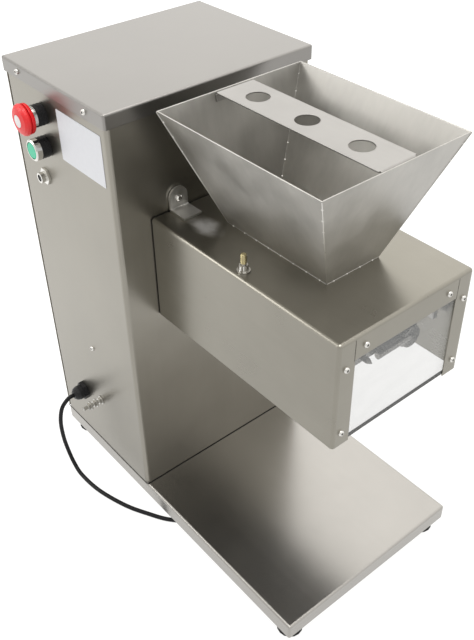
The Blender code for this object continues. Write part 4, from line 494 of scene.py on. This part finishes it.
class Shape:
    """Mesh helpers that the pieces are made with."""

    @staticmethod
    def mesh(shape: bmesh.types.BMesh, name: str = "piece") -> bpy.types.Mesh:
        """The shape as a mesh; the shape is freed."""
        mesh = bpy.data.meshes.new(name)
        shape.to_mesh(mesh)
        shape.free()
        return mesh

    @staticmethod
    def outward(shape: bmesh.types.BMesh) -> bmesh.types.BMesh:
        """The same shape with its faces turned outward."""
        bmesh.ops.recalc_face_normals(shape, faces=shape.faces[:])
        return shape

    @staticmethod
    def repeated(make: Callable[[], bmesh.types.BMesh], places: Iterable[Matrix]) -> bmesh.types.BMesh:
        """One shape made at each place, as one bmesh."""
        return Shape.joined([Shape.moved(make(), place) for place in places])

    @staticmethod
    def turned(profile: Sequence[tuple[float, float]], count: int = 24) -> bmesh.types.BMesh:
        """A solid spun about local Z from (radius, z) points.

        Args:
            profile: Points from the bottom of the axis to its top.
            count: The number of facets round.

        Returns:
            The shape.
        """
        shape = bmesh.new()
        points = [shape.verts.new((radius, 0.0, z)) for radius, z in profile]
        edges = [shape.edges.new(pair) for pair in zip(points, points[1:])]
        turn = {"cent": (0, 0, 0), "axis": (0, 0, 1), "angle": math.tau, "steps": count, "use_merge": True}
        bmesh.ops.spin(shape, geom=points + edges, **turn)
        bmesh.ops.remove_doubles(shape, verts=shape.verts[:], dist=1e-6)
        return Shape.outward(shape)

    @staticmethod
    def rounded(width: float, height: float, corner: float, inset: float = 0.0) -> list[tuple[float, float]]:
        """Points round a rectangle about the origin.

        Args:
            width: The rectangle's width.
            height: Its height.
            corner: The radius of its corners.
            inset: How far inside the rectangle the points lie.

        Returns:
            Five points for each corner.
        """
        points = []
        for quarter, (sx, sy) in enumerate(((1, 1), (-1, 1), (-1, -1), (1, -1))):
            for step in range(5):
                angle = math.radians(90) * (quarter + step / 4)
                x = sx * (width / 2 - corner) + (corner - inset) * math.cos(angle)
                y = sy * (height / 2 - corner) + (corner - inset) * math.sin(angle)
                points.append((x, y))
        return points

    @staticmethod
    def slab(width: float, height: float, depth: float, radius: float) -> bmesh.types.BMesh:
        """A thin plate about the origin with round corners, from z = 0 to its depth."""
        shape = bmesh.new()
        face = shape.faces.new([shape.verts.new((x, y, 0.0)) for x, y in Shape.rounded(width, height, radius)])
        grown = bmesh.ops.extrude_face_region(shape, geom=[face])
        raised = [v for v in grown["geom"] if isinstance(v, bmesh.types.BMVert)]
        bmesh.ops.translate(shape, verts=raised, vec=(0, 0, depth))
        return Shape.outward(shape)

    @staticmethod
    def rod(start: Vector, end: Vector, radius: float) -> bmesh.types.BMesh:
        """A thin round rod with domed ends between two points."""
        length = (end - start).length
        shape = Shape.turned(
            [(0.0, -radius), (radius * 0.7, -radius * 0.6), (radius, 0.0), (radius, length)]
            + [(radius * 0.7, length + radius * 0.6), (0.0, length + radius)],
            8,
        )
        turn = (end - start).to_track_quat("Z", "Y").to_matrix().to_4x4()
        return Shape.moved(shape, Matrix.Translation(start) @ turn)

    @staticmethod
    def ringed(loops: Sequence[Sequence[Vector]], closed: bool = True) -> bmesh.types.BMesh:
        """A tube of quads from loop to loop and back to the first.

        Args:
            loops: Loops of as many points each.
            closed: Whether each loop runs back to its first point; else its ends are capped.

        Returns:
            The shape.
        """
        shape = bmesh.new()
        rings = [[shape.verts.new(point) for point in loop] for loop in loops]
        count = len(rings[0])
        for ring, following in zip(rings, rings[1:] + rings[:1]):
            for index in range(count if closed else count - 1):
                after = (index + 1) % count
                shape.faces.new((ring[index], ring[after], following[after], following[index]))
        if not closed:
            shape.faces.new([ring[0] for ring in rings])
            shape.faces.new([ring[-1] for ring in reversed(rings)])
        return Shape.outward(shape)

    @staticmethod
    def bead(radius: float, flatness: float) -> bmesh.types.BMesh:
        """A small flattened weld bead about the origin."""
        shape = bmesh.new()
        bmesh.ops.create_icosphere(shape, subdivisions=2, radius=radius)
        bmesh.ops.scale(shape, vec=(1.0, 1.0, flatness), verts=shape.verts[:])
        return shape

    @staticmethod
    def joined(parts: Iterable[bmesh.types.BMesh]) -> bmesh.types.BMesh:
        """Several shapes in one bmesh."""
        whole = bmesh.new()
        for part in parts:
            mesh = Shape.mesh(part)
            whole.from_mesh(mesh)
            bpy.data.meshes.remove(mesh)
        return whole

    @staticmethod
    def moved(shape: bmesh.types.BMesh, matrix: Matrix) -> bmesh.types.BMesh:
        """The same shape after a matrix."""
        shape.transform(matrix)
        return shape


FLAT_COSINE = math.cos(math.radians(0.6))
PIECE_ANGLE = math.radians(35.0)
NODE_COSINE = math.cos(math.radians(38.0))
FACING_LEFT = Matrix(((0, 0, -1, 0), (-1, 0, 0, 0), (0, 1, 0, 0), (0, 0, 0, 1)))
FACING_RIGHT = Matrix(((0, 0, 1, 0), (1, 0, 0, 0), (0, 1, 0, 0), (0, 0, 0, 1)))
FACING_FRONT = Matrix.Rotation(math.radians(90), 4, "X")
FACING_BACK = Matrix(((-1, 0, 0, 0), (0, 0, 1, 0), (0, 1, 0, 0), (0, 0, 0, 1)))


def placed(turn: Matrix, x: float, y: float, z: float) -> Matrix:
    """A turn, and then a move to a machine-frame point."""
    return Matrix.Translation(MACHINE.at(x, y, z)) @ turn


def end_middle(node: str, left: bool) -> Vector:
    """The middle of the left or right end of a node's box."""
    low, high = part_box(node)
    return Vector((low.x if left else high.x, (low.y + high.y) / 2, (low.z + high.z) / 2))


def linked(name: str, data: bpy.types.ID) -> bpy.types.Object:
    """A new object of some data, in the scene."""
    made = bpy.data.objects.new(name, data)
    bpy.context.scene.collection.objects.link(made)
    return made


def make_piece(
    name: str, shape: bmesh.types.BMesh, finish: str, body: str = "machine"
) -> bpy.types.Object:
    """Make one visible piece that rides on a body.

    Args:
        name: The piece's name.
        shape: Its shape in the row frame; it is freed.
        finish: The key of its finish.
        body: The CAD body that carries it.

    Returns:
        The piece.
    """
    mesh = Shape.mesh(shape, name)
    mesh.shade_smooth()
    mesh.set_sharp_from_angle(angle=PIECE_ANGLE)
    mesh.materials.append(FINISHES[finish])
    piece = linked(name, mesh)
    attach(piece, body)
    LOG.info("%s: %d faces on %s", name, len(mesh.polygons), body)
    return piece


def flat_areas(mesh: bpy.types.Mesh) -> list[float]:
    """The area of the flat face that each polygon is part of.

    Args:
        mesh: The mesh.

    Returns:
        One area for each polygon.
    """
    normals = [polygon.normal.copy() for polygon in mesh.polygons]
    group = list(range(len(normals)))

    def root(index: int) -> int:
        """The first polygon of a group."""
        while group[index] != index:
            group[index] = group[group[index]]
            index = group[index]
        return index

    beside: dict[tuple[int, int], int] = {}
    for polygon in mesh.polygons:
        for key in polygon.edge_keys:
            other = beside.setdefault(key, polygon.index)
            if other != polygon.index and normals[other].dot(normals[polygon.index]) > FLAT_COSINE:
                group[root(polygon.index)] = root(other)
    areas = [0.0] * len(normals)
    for polygon in mesh.polygons:
        areas[root(polygon.index)] += polygon.area
    return [areas[root(index)] for index in range(len(normals))]


def shade_evenly(mesh: bpy.types.Mesh) -> None:
    """Shade bends smooth and keep the flats beside them flat."""
    normals = [polygon.normal.copy() for polygon in mesh.polygons]
    areas = flat_areas(mesh)
    around: list[list[int]] = [[] for _ in mesh.vertices]
    for polygon in mesh.polygons:
        for vertex in polygon.vertices:
            around[vertex].append(polygon.index)
    shaded = []
    for polygon in mesh.polygons:
        own = normals[polygon.index]
        for vertex in polygon.vertices:
            total = Vector()
            for other in around[vertex]:
                if normals[other].dot(own) > NODE_COSINE:
                    total += normals[other] * areas[other]
            shaded.append(total.normalized() if total.length else own)
    mesh.shade_smooth()
    mesh.normals_split_custom_set(shaded)


def dress(finish: str, *nodes: str) -> None:
    """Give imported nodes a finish.

    Args:
        finish: The key of the finish.
        nodes: The nodes' names.
    """
    for name in nodes:
        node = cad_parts[name]
        node.data.materials.clear()
        node.data.materials.append(FINISHES[finish])
        shade_evenly(node.data)
        LOG.info("%s dressed as %s", name, finish)


@dataclass
class ColumnTrim:
    """Column, base and cap: sheet finishes, the bare plate on the side and screw heads."""

    plate_near: float = 0.0133
    plate_far: float = 0.1170
    plate_low: float = 0.5875
    plate_high: float = 0.6585
    plate_depth: float = 0.0004
    head_radius: float = 0.0041
    head_rise: float = 0.0030
    recess_floor: float = 0.0024
    cap_lip: float = 0.0025
    cap_screw_drop: float = 0.010
    cap_screw_inset: float = 0.040
    side_screw_back: float = 0.119
    side_screw_rise: float = 0.213
    rear_screw_inset: float = 0.010
    rear_screw_low: float = 0.0683
    rear_screw_drop: float = 0.040
    # The painted shade strip round the column's foot: how far it stands out and how high it rises.
    shade_strip_proud: float = 0.0004
    shade_strip_rise: float = 0.0013

    FEET = ("front_left_foot", "front_right_foot", "rear_left_foot", "rear_right_foot")

    def build(self) -> None:
        """Dress the nodes and make the pieces."""
        dress("base_sheet", "base_plate")
        dress("side_sheet", "column_shell", "rear_cover")
        dress("cap_sheet", "top_cap")
        dress("black_rubber", *self.FEET)
        self.side_plate()
        self.screw_heads()
        self.foot_screws()
        self.foot_shade_strip()

    def side_plate(self) -> None:
        """The bare white plate under the cap."""
        width = self.plate_far - self.plate_near
        height = self.plate_high - self.plate_low
        back, up = (self.plate_near + self.plate_far) / 2, (self.plate_low + self.plate_high) / 2
        place = placed(FACING_LEFT, -MACHINE.column_width / 2 - 0.00005, back, up)
        shape = Shape.slab(width, height, self.plate_depth, 0.0015)
        make_piece("side_plate", Shape.moved(shape, place), "plate_film")

    def head(self) -> bmesh.types.BMesh:
        """One pan head with a hexagonal recess, rising from z = 0."""
        radius, rise = self.head_radius, self.head_rise
        socket = radius * 0.46
        sunk, floor = -0.0002, self.recess_floor - 0.0001
        profile = [(0.0, sunk), (radius, sunk), (radius, rise * 0.32), (radius * 0.92, rise * 0.70)]
        profile += [(radius * 0.70, rise * 0.98), (socket, rise), (socket, floor), (0.0, floor)]
        return Shape.turned(profile, 18)

    def recess_shade(self) -> bmesh.types.BMesh:
        """A dark six-sided disc on the floor of a head's recess: painted shade."""
        socket = self.head_radius * 0.44
        low, high = self.recess_floor - 0.0003, self.recess_floor
        return Shape.turned([(0.0, low), (socket, low), (socket, high), (0.0, high - 0.0001)], 6)

    def fit_heads(self, name: str, places: Sequence[Matrix]) -> None:
        """Make heads, with a dark disc of painted shade in each recess, at the given places.

        Args:
            name: The heads' name; the discs of painted shade add "_recess_shades" to it.
            places: Where each head stands, with its axis along local Z.
        """
        make_piece(name, Shape.repeated(self.head, places), "bright_steel")
        # Painted shade: a dark disc at the bottom of each recess.
        recess_shades = Shape.repeated(self.recess_shade, places)
        make_piece(f"{name}_recesses", recess_shades, "dark_steel")

    def screw_heads(self) -> None:
        """Bright heads on the cap's flanges, the side and the rear cover."""
        side = MACHINE.column_width / 2
        cap_side = side + self.cap_lip
        cap_z = MACHINE.cap_top - self.cap_screw_drop
        places = []
        for back in (self.cap_screw_inset, MACHINE.column_depth - self.cap_screw_inset):
            places.append(placed(FACING_LEFT, -cap_side, back, cap_z))
            places.append(placed(FACING_RIGHT, cap_side, back, cap_z))
        places.append(placed(FACING_LEFT, -side, self.side_screw_back, MACHINE.base_top + self.side_screw_rise))
        low, high = self.rear_screw_low, MACHINE.cap_top - self.rear_screw_drop
        for x in (-side + self.rear_screw_inset, side - self.rear_screw_inset):
            for z in (low, (low + high) / 2, high):
                places.append(placed(FACING_BACK, x, MACHINE.column_depth, z))
        self.fit_heads("sheet_screws", places)

    def foot_screws(self) -> None:
        """Round heads on the outer sides of the feet."""
        places = []
        for foot in self.FEET:
            low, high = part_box(foot)
            left = "left" in foot
            turn = FACING_LEFT if left else FACING_RIGHT
            middle = Vector((low.x if left else high.x, (low.y + high.y) / 2, low.z + (high.z - low.z) * 0.45))
            places.append(Matrix.Translation(middle) @ turn)
        self.fit_heads("foot_screws", places)

    def foot_shade_strip(self) -> None:
        """A dark strip round the column's foot on the floor plate: painted shade in the gap where the column
        stands.
        """
        side, depth = MACHINE.column_width / 2, MACHINE.column_depth
        proud, high = self.shade_strip_proud, self.shade_strip_rise
        loops = []
        for grow, z in ((0.0, high), (proud, high), (proud, 0.0), (0.0, 0.0)):
            x, y = side + grow, grow
            loops.append([(-x, -y), (x, -y), (x, depth + y), (-x, depth + y)])
            loops[-1] = [MACHINE.at(a, b, MACHINE.base_top + z) for a, b in loops[-1]]
        # Painted shade: black rubber stands in for the shade in the gap under the column.
        make_piece("column_shade_strip", Shape.ringed(loops), "black_rubber")


@dataclass
class PanelDevices:
    """Emergency stop, start and reset buttons, gland and earth stud."""

    skirt_outer: float = 0.0203
    skirt_inner: float = 0.0170
    skirt_depth: float = 0.0038
    ribs: int = 5
    rib_width: float = 0.0017
    rib_rise: float = 0.0005

    def build(self) -> None:
        """Dress the nodes and make the pieces."""
        dress("black_plastic", "estop_sleeve", "start_sleeve", "estop_contact_block", "start_contact_block")
        dress("bright_steel", "estop_bezel", "start_bezel", "reset_barrel")
        dress("red_plastic", "estop_head")
        dress("green_plastic", "start_button")
        dress("black_plastic", "estop_stem", "reset_button", "cable_gland", "power_plug")
        dress("plated_steel", "earth_stud")
        self.head_disc()
        self.head_skirt()
        self.sleeve_ribs()

    def head_skirt(self) -> None:
        """The skirt behind the mushroom head, which passes round the bezel when it is pressed."""
        outer, inner, deep = self.skirt_outer, self.skirt_inner, self.skirt_depth
        profile = [(inner, 0.0012), (inner, -deep + 0.0004), (inner + 0.0005, -deep), (outer - 0.0008, -deep)]
        profile += [(outer, -deep + 0.0010), (outer + 0.0004, 0.0012), (inner, 0.0012)]
        place = Matrix.Translation(end_middle("estop_head", left=False)) @ FACING_LEFT
        skirt = Shape.moved(Shape.turned(profile, 40), place)
        make_piece("head_skirt", skirt, "red_plastic", "estop_head")

    def sleeve_ribs(self) -> None:
        """Moulded ribs round the two black sleeves."""
        ribs = []
        for sleeve in ("estop_sleeve", "start_sleeve"):
            low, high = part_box(sleeve)
            radius = (high.z - low.z) / 2
            place = Matrix.Translation(end_middle(sleeve, left=False)) @ FACING_LEFT
            for index in range(self.ribs):
                foot = (high.x - low.x) * (index + 0.5) / self.ribs - self.rib_width / 2
                root, crest, wide = radius - 0.0005, radius + self.rib_rise, self.rib_width
                profile = [(root, foot), (crest, foot + wide * 0.3), (crest, foot + wide * 0.7)]
                profile += [(root, foot + wide), (root, foot)]
                ribs.append(Shape.moved(Shape.turned(profile, 32), place))
        make_piece("sleeve_ribs", Shape.joined(ribs), "black_plastic")

    def head_disc(self) -> None:
        """The pale disc in the middle of the mushroom head."""
        rise = 0.0007
        centre = end_middle("estop_head", left=True) + Vector((rise, 0.0, 0.0))
        profile = [(0.0, 0.0), (0.0084, 0.0), (0.0084, 0.0004), (0.0078, rise), (0.0, rise)]
        disc = Shape.moved(Shape.turned(profile, 32), Matrix.Translation(centre) @ FACING_LEFT)
        make_piece("head_disc", disc, "pale_plastic", "estop_head")


@dataclass(frozen=True)
class HopperEdge:
    """One level edge of the hopper, by half its width, its front and its back."""

    half: float
    front: float
    back: float

    def corners(self) -> list[tuple[float, float]]:
        """The four corners, from the front left one round."""
        near, far = self.front, self.back
        return [(-self.half, near), (self.half, near), (self.half, far), (-self.half, far)]


@dataclass
class CuttingBox:
    """Box, window, brackets and hopper with their weld beads and screw heads."""

    bead_radius: float = 0.0015
    bead_pitch: float = 0.0235
    bead_inset: float = 0.0022
    seam_radius: float = 0.0005
    stud_offset: float = 0.098
    stud_back: float = 0.170
    stud_radius: float = 0.0039
    stud_low: float = 0.0109
    stud_high: float = 0.0243
    thread_pitch: float = 0.0012
    gasket_corner: float = 0.003

    FOOT = HopperEdge(0.0435, -0.255, -0.074)
    RIM = HopperEdge(0.1145, -0.309, -0.035)
    WINDOW_SCREWS = ((0.0705, 0.512), (0.1000, 0.4915), (0.1000, 0.3937))

    def build(self) -> None:
        """Dress the nodes and make the pieces."""
        dress("box_sheet", "box_cover")
        dress("hopper_sheet", "hopper")
        dress("strip_sheet", "divider_strip")
        dress("acrylic", "window")
        dress("bracket_steel", "left_bracket", "right_bracket")
        dress("inner_sheet", "support_frame")
        dress("bright_steel", "left_bracket_screw", "right_bracket_screw", "left_wing_nut", "right_wing_nut")
        self.window_screws()
        self.box_gasket()
        self.pane_edge()
        self.wing_studs()
        self.weld_seams()
        self.weld_beads()

    def window_screws(self) -> None:
        """Bright heads round the window."""
        places = []
        for x, z in self.WINDOW_SCREWS:
            for side in (-1, 1):
                places.append(placed(FACING_FRONT, side * x, -MACHINE.box_front, z))
        ColumnTrim().fit_heads("window_screws", places)

    def box_gasket(self) -> None:
        """The dark strip in the gap between the box and the column, over the top and down both sides."""
        half, top, low = MACHINE.box_width / 2, MACHINE.box_top, MACHINE.box_bottom
        loops = []
        for inset, y in ((0.0006, -0.0003), (0.0006, -0.0017), (0.0030, -0.0017), (0.0030, -0.0003)):
            x, z, cut = half - inset, top - inset, self.gasket_corner
            path = [(-x, low), (-x, z - cut), (-x + cut, z), (x - cut, z), (x, z - cut), (x, low)]
            loops.append([MACHINE.at(a, y, b) for a, b in path])
        make_piece("box_gasket", Shape.ringed(loops, closed=False), "black_rubber")

    def pane_edge(self) -> None:
        """The dark cut edge along the foot of the window."""
        low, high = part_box("window")
        shape = Shape.slab(high.x - low.x - 0.001, 0.0010, high.y - low.y, 0.0003)
        place = Matrix.Translation(((low.x + high.x) / 2, high.y, low.z + 0.0003)) @ FACING_FRONT
        make_piece("pane_edge", Shape.moved(shape, place), "dark_steel")

    def wing_studs(self) -> None:
        """The threaded ends of the studs above the wing nuts."""
        low, high = MACHINE.box_top + self.stud_low, MACHINE.box_top + self.stud_high
        turns = round((high - low) / self.thread_pitch)
        profile = [(0.0, low), (self.stud_radius - 0.0003, low)]
        for turn in range(turns):
            foot = low + turn * self.thread_pitch
            profile.append((self.stud_radius, foot + self.thread_pitch * 0.45))
            profile.append((self.stud_radius - 0.0004, foot + self.thread_pitch * 0.95))
        profile += [(self.stud_radius - 0.0010, high), (0.0, high + 0.0002)]
        spots = [MACHINE.at(side * self.stud_offset, -self.stud_back, 0.0) for side in (-1, 1)]
        studs = Shape.repeated(lambda: Shape.turned(profile, 16), map(Matrix.Translation, spots))
        make_piece("wing_studs", studs, "zinc_yellow")

    def weld_seams(self) -> None:
        """Thin ground seams down the hopper's outer corners and round its foot."""
        foot, rim = self.FOOT.corners(), self.RIM.corners()
        low, high = MACHINE.box_top + 0.0005, MACHINE.rim_z - 0.0012
        seams = []
        for (fx, fy), (rx, ry) in zip(foot, rim):
            seams.append(Shape.rod(MACHINE.at(fx, fy, low), MACHINE.at(rx, ry, high), self.seam_radius))
        for (ax, ay), (bx, by) in zip(foot, foot[1:] + foot[:1]):
            seams.append(Shape.rod(MACHINE.at(ax, ay, low), MACHINE.at(bx, by, low), self.seam_radius))
        make_piece("weld_seams", Shape.joined(seams), "weld_steel")

    def spaced(self, start: Vector, end: Vector) -> list[Vector]:
        """Evenly spaced places for beads between two ends."""
        count = max(1, round((end - start).length / self.bead_pitch))
        return [start.lerp(end, (index + 0.5) / count) for index in range(count)]

    def weld_beads(self) -> None:
        """Tack welds down the hopper's inner corners and round its foot."""
        foot, rim, inset = self.FOOT, self.RIM, self.bead_inset
        top, level = MACHINE.rim_z - 0.004, MACHINE.box_top + 0.0004
        beads = []
        for side in (-1, 1):
            for low_y, high_y, inward in ((foot.front, rim.front, inset), (foot.back, rim.back, -inset)):
                low = MACHINE.at(side * (foot.half - inset), low_y + inward, MACHINE.box_top)
                beads += self.spaced(low, MACHINE.at(side * (rim.half - inset), high_y + inward, top))
        for x in (-foot.half, foot.half):
            beads += self.spaced(MACHINE.at(x, foot.front, level), MACHINE.at(x, foot.back, level))
        for y in (foot.front, foot.back):
            beads += self.spaced(MACHINE.at(-foot.half, y, level), MACHINE.at(foot.half, y, level))
        shapes = Shape.repeated(lambda: Shape.bead(self.bead_radius, 0.8), map(Matrix.Translation, beads))
        make_piece("weld_beads", shapes, "weld_steel")


@dataclass
class Drive:
    """Knives, gears, belt and motor."""

    def build(self) -> None:
        """Dress the nodes."""
        dress("knife_steel", "rear_cassette_plate", "front_cassette_plate", "lock_lever", "motor_shaft")
        dress("cast_iron", "front_gear_plate", "rear_gear_plate", "motor_plate", "driven_pulley")
        dress("cast_iron", "motor_pulley")
        for side in ("left", "right"):
            steel = ("comb", "knife_shaft", "bearing_cap", "gear_shaft")
            dress("knife_steel", *(f"{side}_{part}" for part in steel))
            dress("cast_iron", f"{side}_gear")
        dress("motor_paint", "motor_body", "motor_fan_cover")
        dress("black_rubber", "v_belt")


@dataclass
class SupplyCord:
    """The supply cord as one smooth curve, from the gland to the plug behind the machine."""

    diameter: float = 0.007
    gland_back: float = 0.169
    gland_reach: float = 0.023
    gland_height: float = 0.091
    coil_middle: float = 0.0385
    coil_x: float = 0.030
    coil_behind: float = 0.062
    tail: float = 0.034
    plug_thickness: float = 0.024
    seat: float = 0.0003
    turns: float = 3.25
    points_a_turn: int = 24
    tie_width: float = 0.005
    tie_sheet: float = 0.0009

    @property
    def lying(self) -> float:
        """Height of the cord's middle where it lies on the floor."""
        return self.diameter / 2 + self.seat

    @property
    def outer(self) -> float:
        """Radius of the coil's outer turns."""
        return self.coil_middle + self.diameter / 2

    @property
    def coil_y(self) -> float:
        """The coil's middle behind the column."""
        return MACHINE.column_depth + self.coil_behind

    @property
    def side_gap(self) -> float:
        """How far beside the coil's middle a straight run along its outer turn clears the coil."""
        edge = self.outer + self.diameter / 2
        return math.sqrt((edge + self.seat * 2) ** 2 - (self.outer - self.diameter / 2) ** 2)

    @staticmethod
    def eased(value: float) -> float:
        """A smooth step from 0 to 1."""
        t = min(1.0, max(0.0, value))
        return t * t * (3 - 2 * t)

    def shifted(self, turn: float, whole: float, lead: float, span: float) -> float:
        """How far the cord has moved over to its next turn or layer, from 0 to 1.

        Args:
            turn: The place on the coil, in turns.
            whole: The whole turn that the shift is counted from.
            lead: How far before that turn it starts, in degrees.
            span: How far it goes on, in degrees.

        Returns:
            The share of the shift.
        """
        return self.eased((turn - whole + lead / 360) / (span / 360))

    def run_out(self) -> list[Vector]:
        """Route points from the gland, down and under the floor plate, to the coil."""
        x = -MACHINE.column_width / 2 - self.gland_reach - self.seat
        z = MACHINE.base_top + self.gland_height
        back = self.gland_back
        low = self.lying
        points = [
            (x, back, z),
            (x - 0.010, back, z - 0.001),
            (x - 0.024, back, z - 0.014),
            (x - 0.031, back, z - 0.040),
            (x - 0.032, back - 0.001, z - 0.072),
            (x - 0.031, back - 0.006, z - 0.100),
            (x - 0.031, back - 0.022, z - 0.124),
            (x - 0.031, back - 0.046, low),
            (x - 0.027, 0.075, low),
            (x - 0.012, 0.022, low),
            (x + 0.006, -0.016, low),
            (x + 0.028, -0.052, low),
            (x + 0.062, -0.082, low),
            (x + 0.105, -0.086, low),
            (x + 0.143, -0.060, low),
            (x + 0.166, -0.015, low),
            (x + 0.180, 0.050, low),
            (self.coil_x - self.outer - 0.004, 0.130, low),
            (self.coil_x - self.outer, 0.200, low),
            (self.coil_x - self.outer, self.coil_y - self.side_gap, low),
        ]
        return [Vector(point) for point in points]

    def coil(self) -> list[Vector]:
        """The coil: an outer turn on the floor, an inner one, then both again on top."""
        step = self.diameter
        points = []
        for index in range(int(self.turns * self.points_a_turn) + 1):
            turn = index / self.points_a_turn
            radius = self.outer - step * self.shifted(turn, 1.0, 110, 110)
            radius += step * self.shifted(turn, 3.0, 240, 130)
            height = self.lying + step * self.shifted(turn, 2.0, 190, 130)
            angle = math.pi - math.tau * turn
            x = self.coil_x + radius * math.cos(angle)
            points.append(Vector((x, self.coil_y + radius * math.sin(angle), height)))
        return points

    def run_in(self) -> list[Vector]:
        """The last stretch from the coil's top layer to the plug's neck."""
        y = self.coil_y + self.outer
        high = self.plug_thickness / 2 + self.seat
        upper = self.lying + self.diameter
        start = self.coil_x + self.side_gap
        points = []
        for t in (0.0, 0.2, 0.4, 0.6, 0.8, 1.0):
            points.append(Vector((start + self.tail * t * 0.85, y, upper + (high - upper) * self.eased(t))))
        points.append(Vector((start + self.tail, y, high)))
        return points

    def smooth(self, route: Sequence[Vector], spacing: float) -> list[Vector]:
        """Close points on a smooth curve through the route's own.

        Args:
            route: The points that the cord passes through.
            spacing: The least distance between the points that come back.

        Returns:
            The points.
        """
        ends = [route[0] * 2 - route[1], *route, route[-1] * 2 - route[-2]]
        dense = []
        for p0, p1, p2, p3 in zip(ends, ends[1:], ends[2:], ends[3:]):
            for step in range(16):
                t = step / 16
                bend = (p1 * 3 - p2 * 3 + p3 - p0) * t**3 + (p0 * 2 - p1 * 5 + p2 * 4 - p3) * t**2
                dense.append((bend + (p2 - p0) * t + p1 * 2) / 2)
        points = [dense[0]]
        for point in dense[1:]:
            if (point - points[-1]).length >= spacing:
                points.append(point)
        if (route[-1] - points[-1]).length < spacing * 0.5:
            points.pop()
        return [*points, route[-1].copy()]

    def build(self) -> None:
        route = [point + MACHINE.shift for point in self.run_out() + self.coil() + self.run_in()]
        points = self.smooth(route, self.diameter * 0.6)
        length = sum((b - a).length for a, b in zip(points, points[1:]))
        data = bpy.data.curves.new("supply_cord", "CURVE")
        data.dimensions = "3D"
        data.bevel_depth = self.diameter / 2
        data.bevel_resolution = 4
        data.use_fill_caps = True
        spline = data.splines.new("POLY")
        spline.points.add(len(points) - 1)
        for target, point in zip(spline.points, points):
            target.co = (*point, 1.0)
        spline.use_smooth = True
        data.materials.append(FINISHES["cord_sheath"])
        cord = linked("supply_cord", data)
        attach(cord, "machine")
        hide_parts("power_cord", "cord_coil", "cord_tail")
        tie = self.coil_tie()
        tuple(points[0])
        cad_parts["power_plug"]
        LOG.info("supply_cord: %d points, %.3f m", len(points), length)

    def coil_tie(self) -> bpy.types.Object:
        """A flat black tie round the coil's turns, on its far side from the entry."""
        width = (self.diameter + self.tie_sheet) * 2
        low, high = 0.0001, self.lying + self.diameter * 1.5 + self.tie_sheet
        loops = []
        for inset, across in ((0.0, -0.5), (0.0, 0.5), (self.tie_sheet, 0.5), (self.tie_sheet, -0.5)):
            outline = Shape.rounded(width, high - low, self.diameter * 0.42, inset)
            loops.append([Vector((x, across * self.tie_width, (low + high) / 2 + z)) for x, z in outline])
        place = Matrix.Translation(MACHINE.at(self.coil_x + self.coil_middle, self.coil_y, 0.0))
        tie = Shape.moved(Shape.ringed(loops), place)
        return make_piece("coil_tie", tie, "black_plastic")


@dataclass
class Studio:
    """Floor, lights and camera."""

    camera_at: Point = (-0.6267, -0.8066, 1.1098)
    azimuth: float = -39.085
    elevation: float = 38.335
    roll: float = -1.1026
    lens: float = 47.71

    def build(self) -> None:
        """Make the stage."""
        self.camera()
        self.floor()
        self.lights()

    def camera(self) -> None:
        """The camera at the photograph's viewing angle."""
        data = bpy.data.cameras.new("camera")
        data.lens = self.lens
        data.sensor_width = 36.0
        data.sensor_fit = "AUTO"
        camera = linked("camera", data)
        pitch = math.radians(90.0 - self.elevation)
        turn = Matrix.Rotation(math.radians(self.azimuth), 4, "Z")
        tilt = Matrix.Rotation(pitch, 4, "X")
        spin = Matrix.Rotation(math.radians(self.roll), 4, "Z")
        camera.matrix_world = Matrix.Translation(MACHINE.at(*self.camera_at)) @ turn @ tilt @ spin
        bpy.context.scene.camera = camera

    def floor(self) -> None:
        """A pale floor that glows, brighter towards the back: a painted pool of light."""
        shape = bmesh.new()
        bmesh.ops.create_grid(shape, x_segments=1, y_segments=1, size=8.0)
        mesh = Shape.mesh(shape, "floor")
        graph = Graph("floor")
        mottle = graph.noise(1.5, 2.0, 0.5)
        back = graph.axes()[1]
        # Painted light: the floor's glow rises towards the back, as a pool of light lying there.
        painted_back_glow = graph.ramp((back + mottle * 0.1) * 0.5 + 0.5, ((0.50, 0.79), (0.64, 0.83), (0.82, 1.0)))
        tone = graph.blended(painted_back_glow, (0.0, 0.0, 0.0), (1.0, 0.995, 0.985))
        graph.set(Base_Color=(0.10, 0.10, 0.10), Roughness=(0.85 + mottle * 0.1))
        graph.set(Emission_Color=tone, Emission_Strength=1.2)
        mesh.materials.append(graph.material)
        floor = linked("floor", mesh)

    def area(
        self, name: str, place: Point, aim: Point, size: tuple[float, float], power: float, tint: Colour
    ) -> None:
        """One soft area light.

        Args:
            name: The light's name.
            place: Where it hangs.
            aim: The point it faces.
            size: Its width and height.
            power: Its power in watts.
            tint: Its colour.
        """
        data = bpy.data.lights.new(name, "AREA")
        data.shape = "RECTANGLE"
        data.size, data.size_y = size
        data.energy = power
        data.color = tint
        light = linked(name, data)
        light.location = place
        light.rotation_euler = (Vector(aim) - Vector(place)).to_track_quat("-Z", "Y").to_euler()

    def lights(self) -> None:
        """The surroundings, and soft panels at the back right, overhead and at the back left."""
        bpy.context.scene.view_settings.view_transform = "Standard"
        Surroundings("studio", (1.0, 0.985, 0.96), 1.5)
        self.area("key", (1.5, 1.8, 2.1), (0.0, 0.0, 0.4), (2.6, 2.6), 6.0, (1.0, 0.985, 0.96))
        self.area("overhead", (0.1, -0.1, 2.2), (0.0, -0.2, 0.5), (1.1, 1.1), 18.0, (1.0, 0.99, 0.98))
        self.area("back_left", (-1.5, 1.3, 1.5), (-0.1, 0.0, 0.4), (0.8, 0.6), 7.0, (1.0, 0.99, 0.97))


def main() -> None:
    """Build every sub-assembly and the studio."""
    logging.basicConfig(level=logging.INFO, format="%(name)s: %(message)s")
    for assembly in (SupplyCord(), Studio(), ColumnTrim(), PanelDevices(), CuttingBox(), Drive()):
        LOG.info("building %s", type(assembly).__name__)
        assembly.build()


if __name__ == "__main__":
    main()
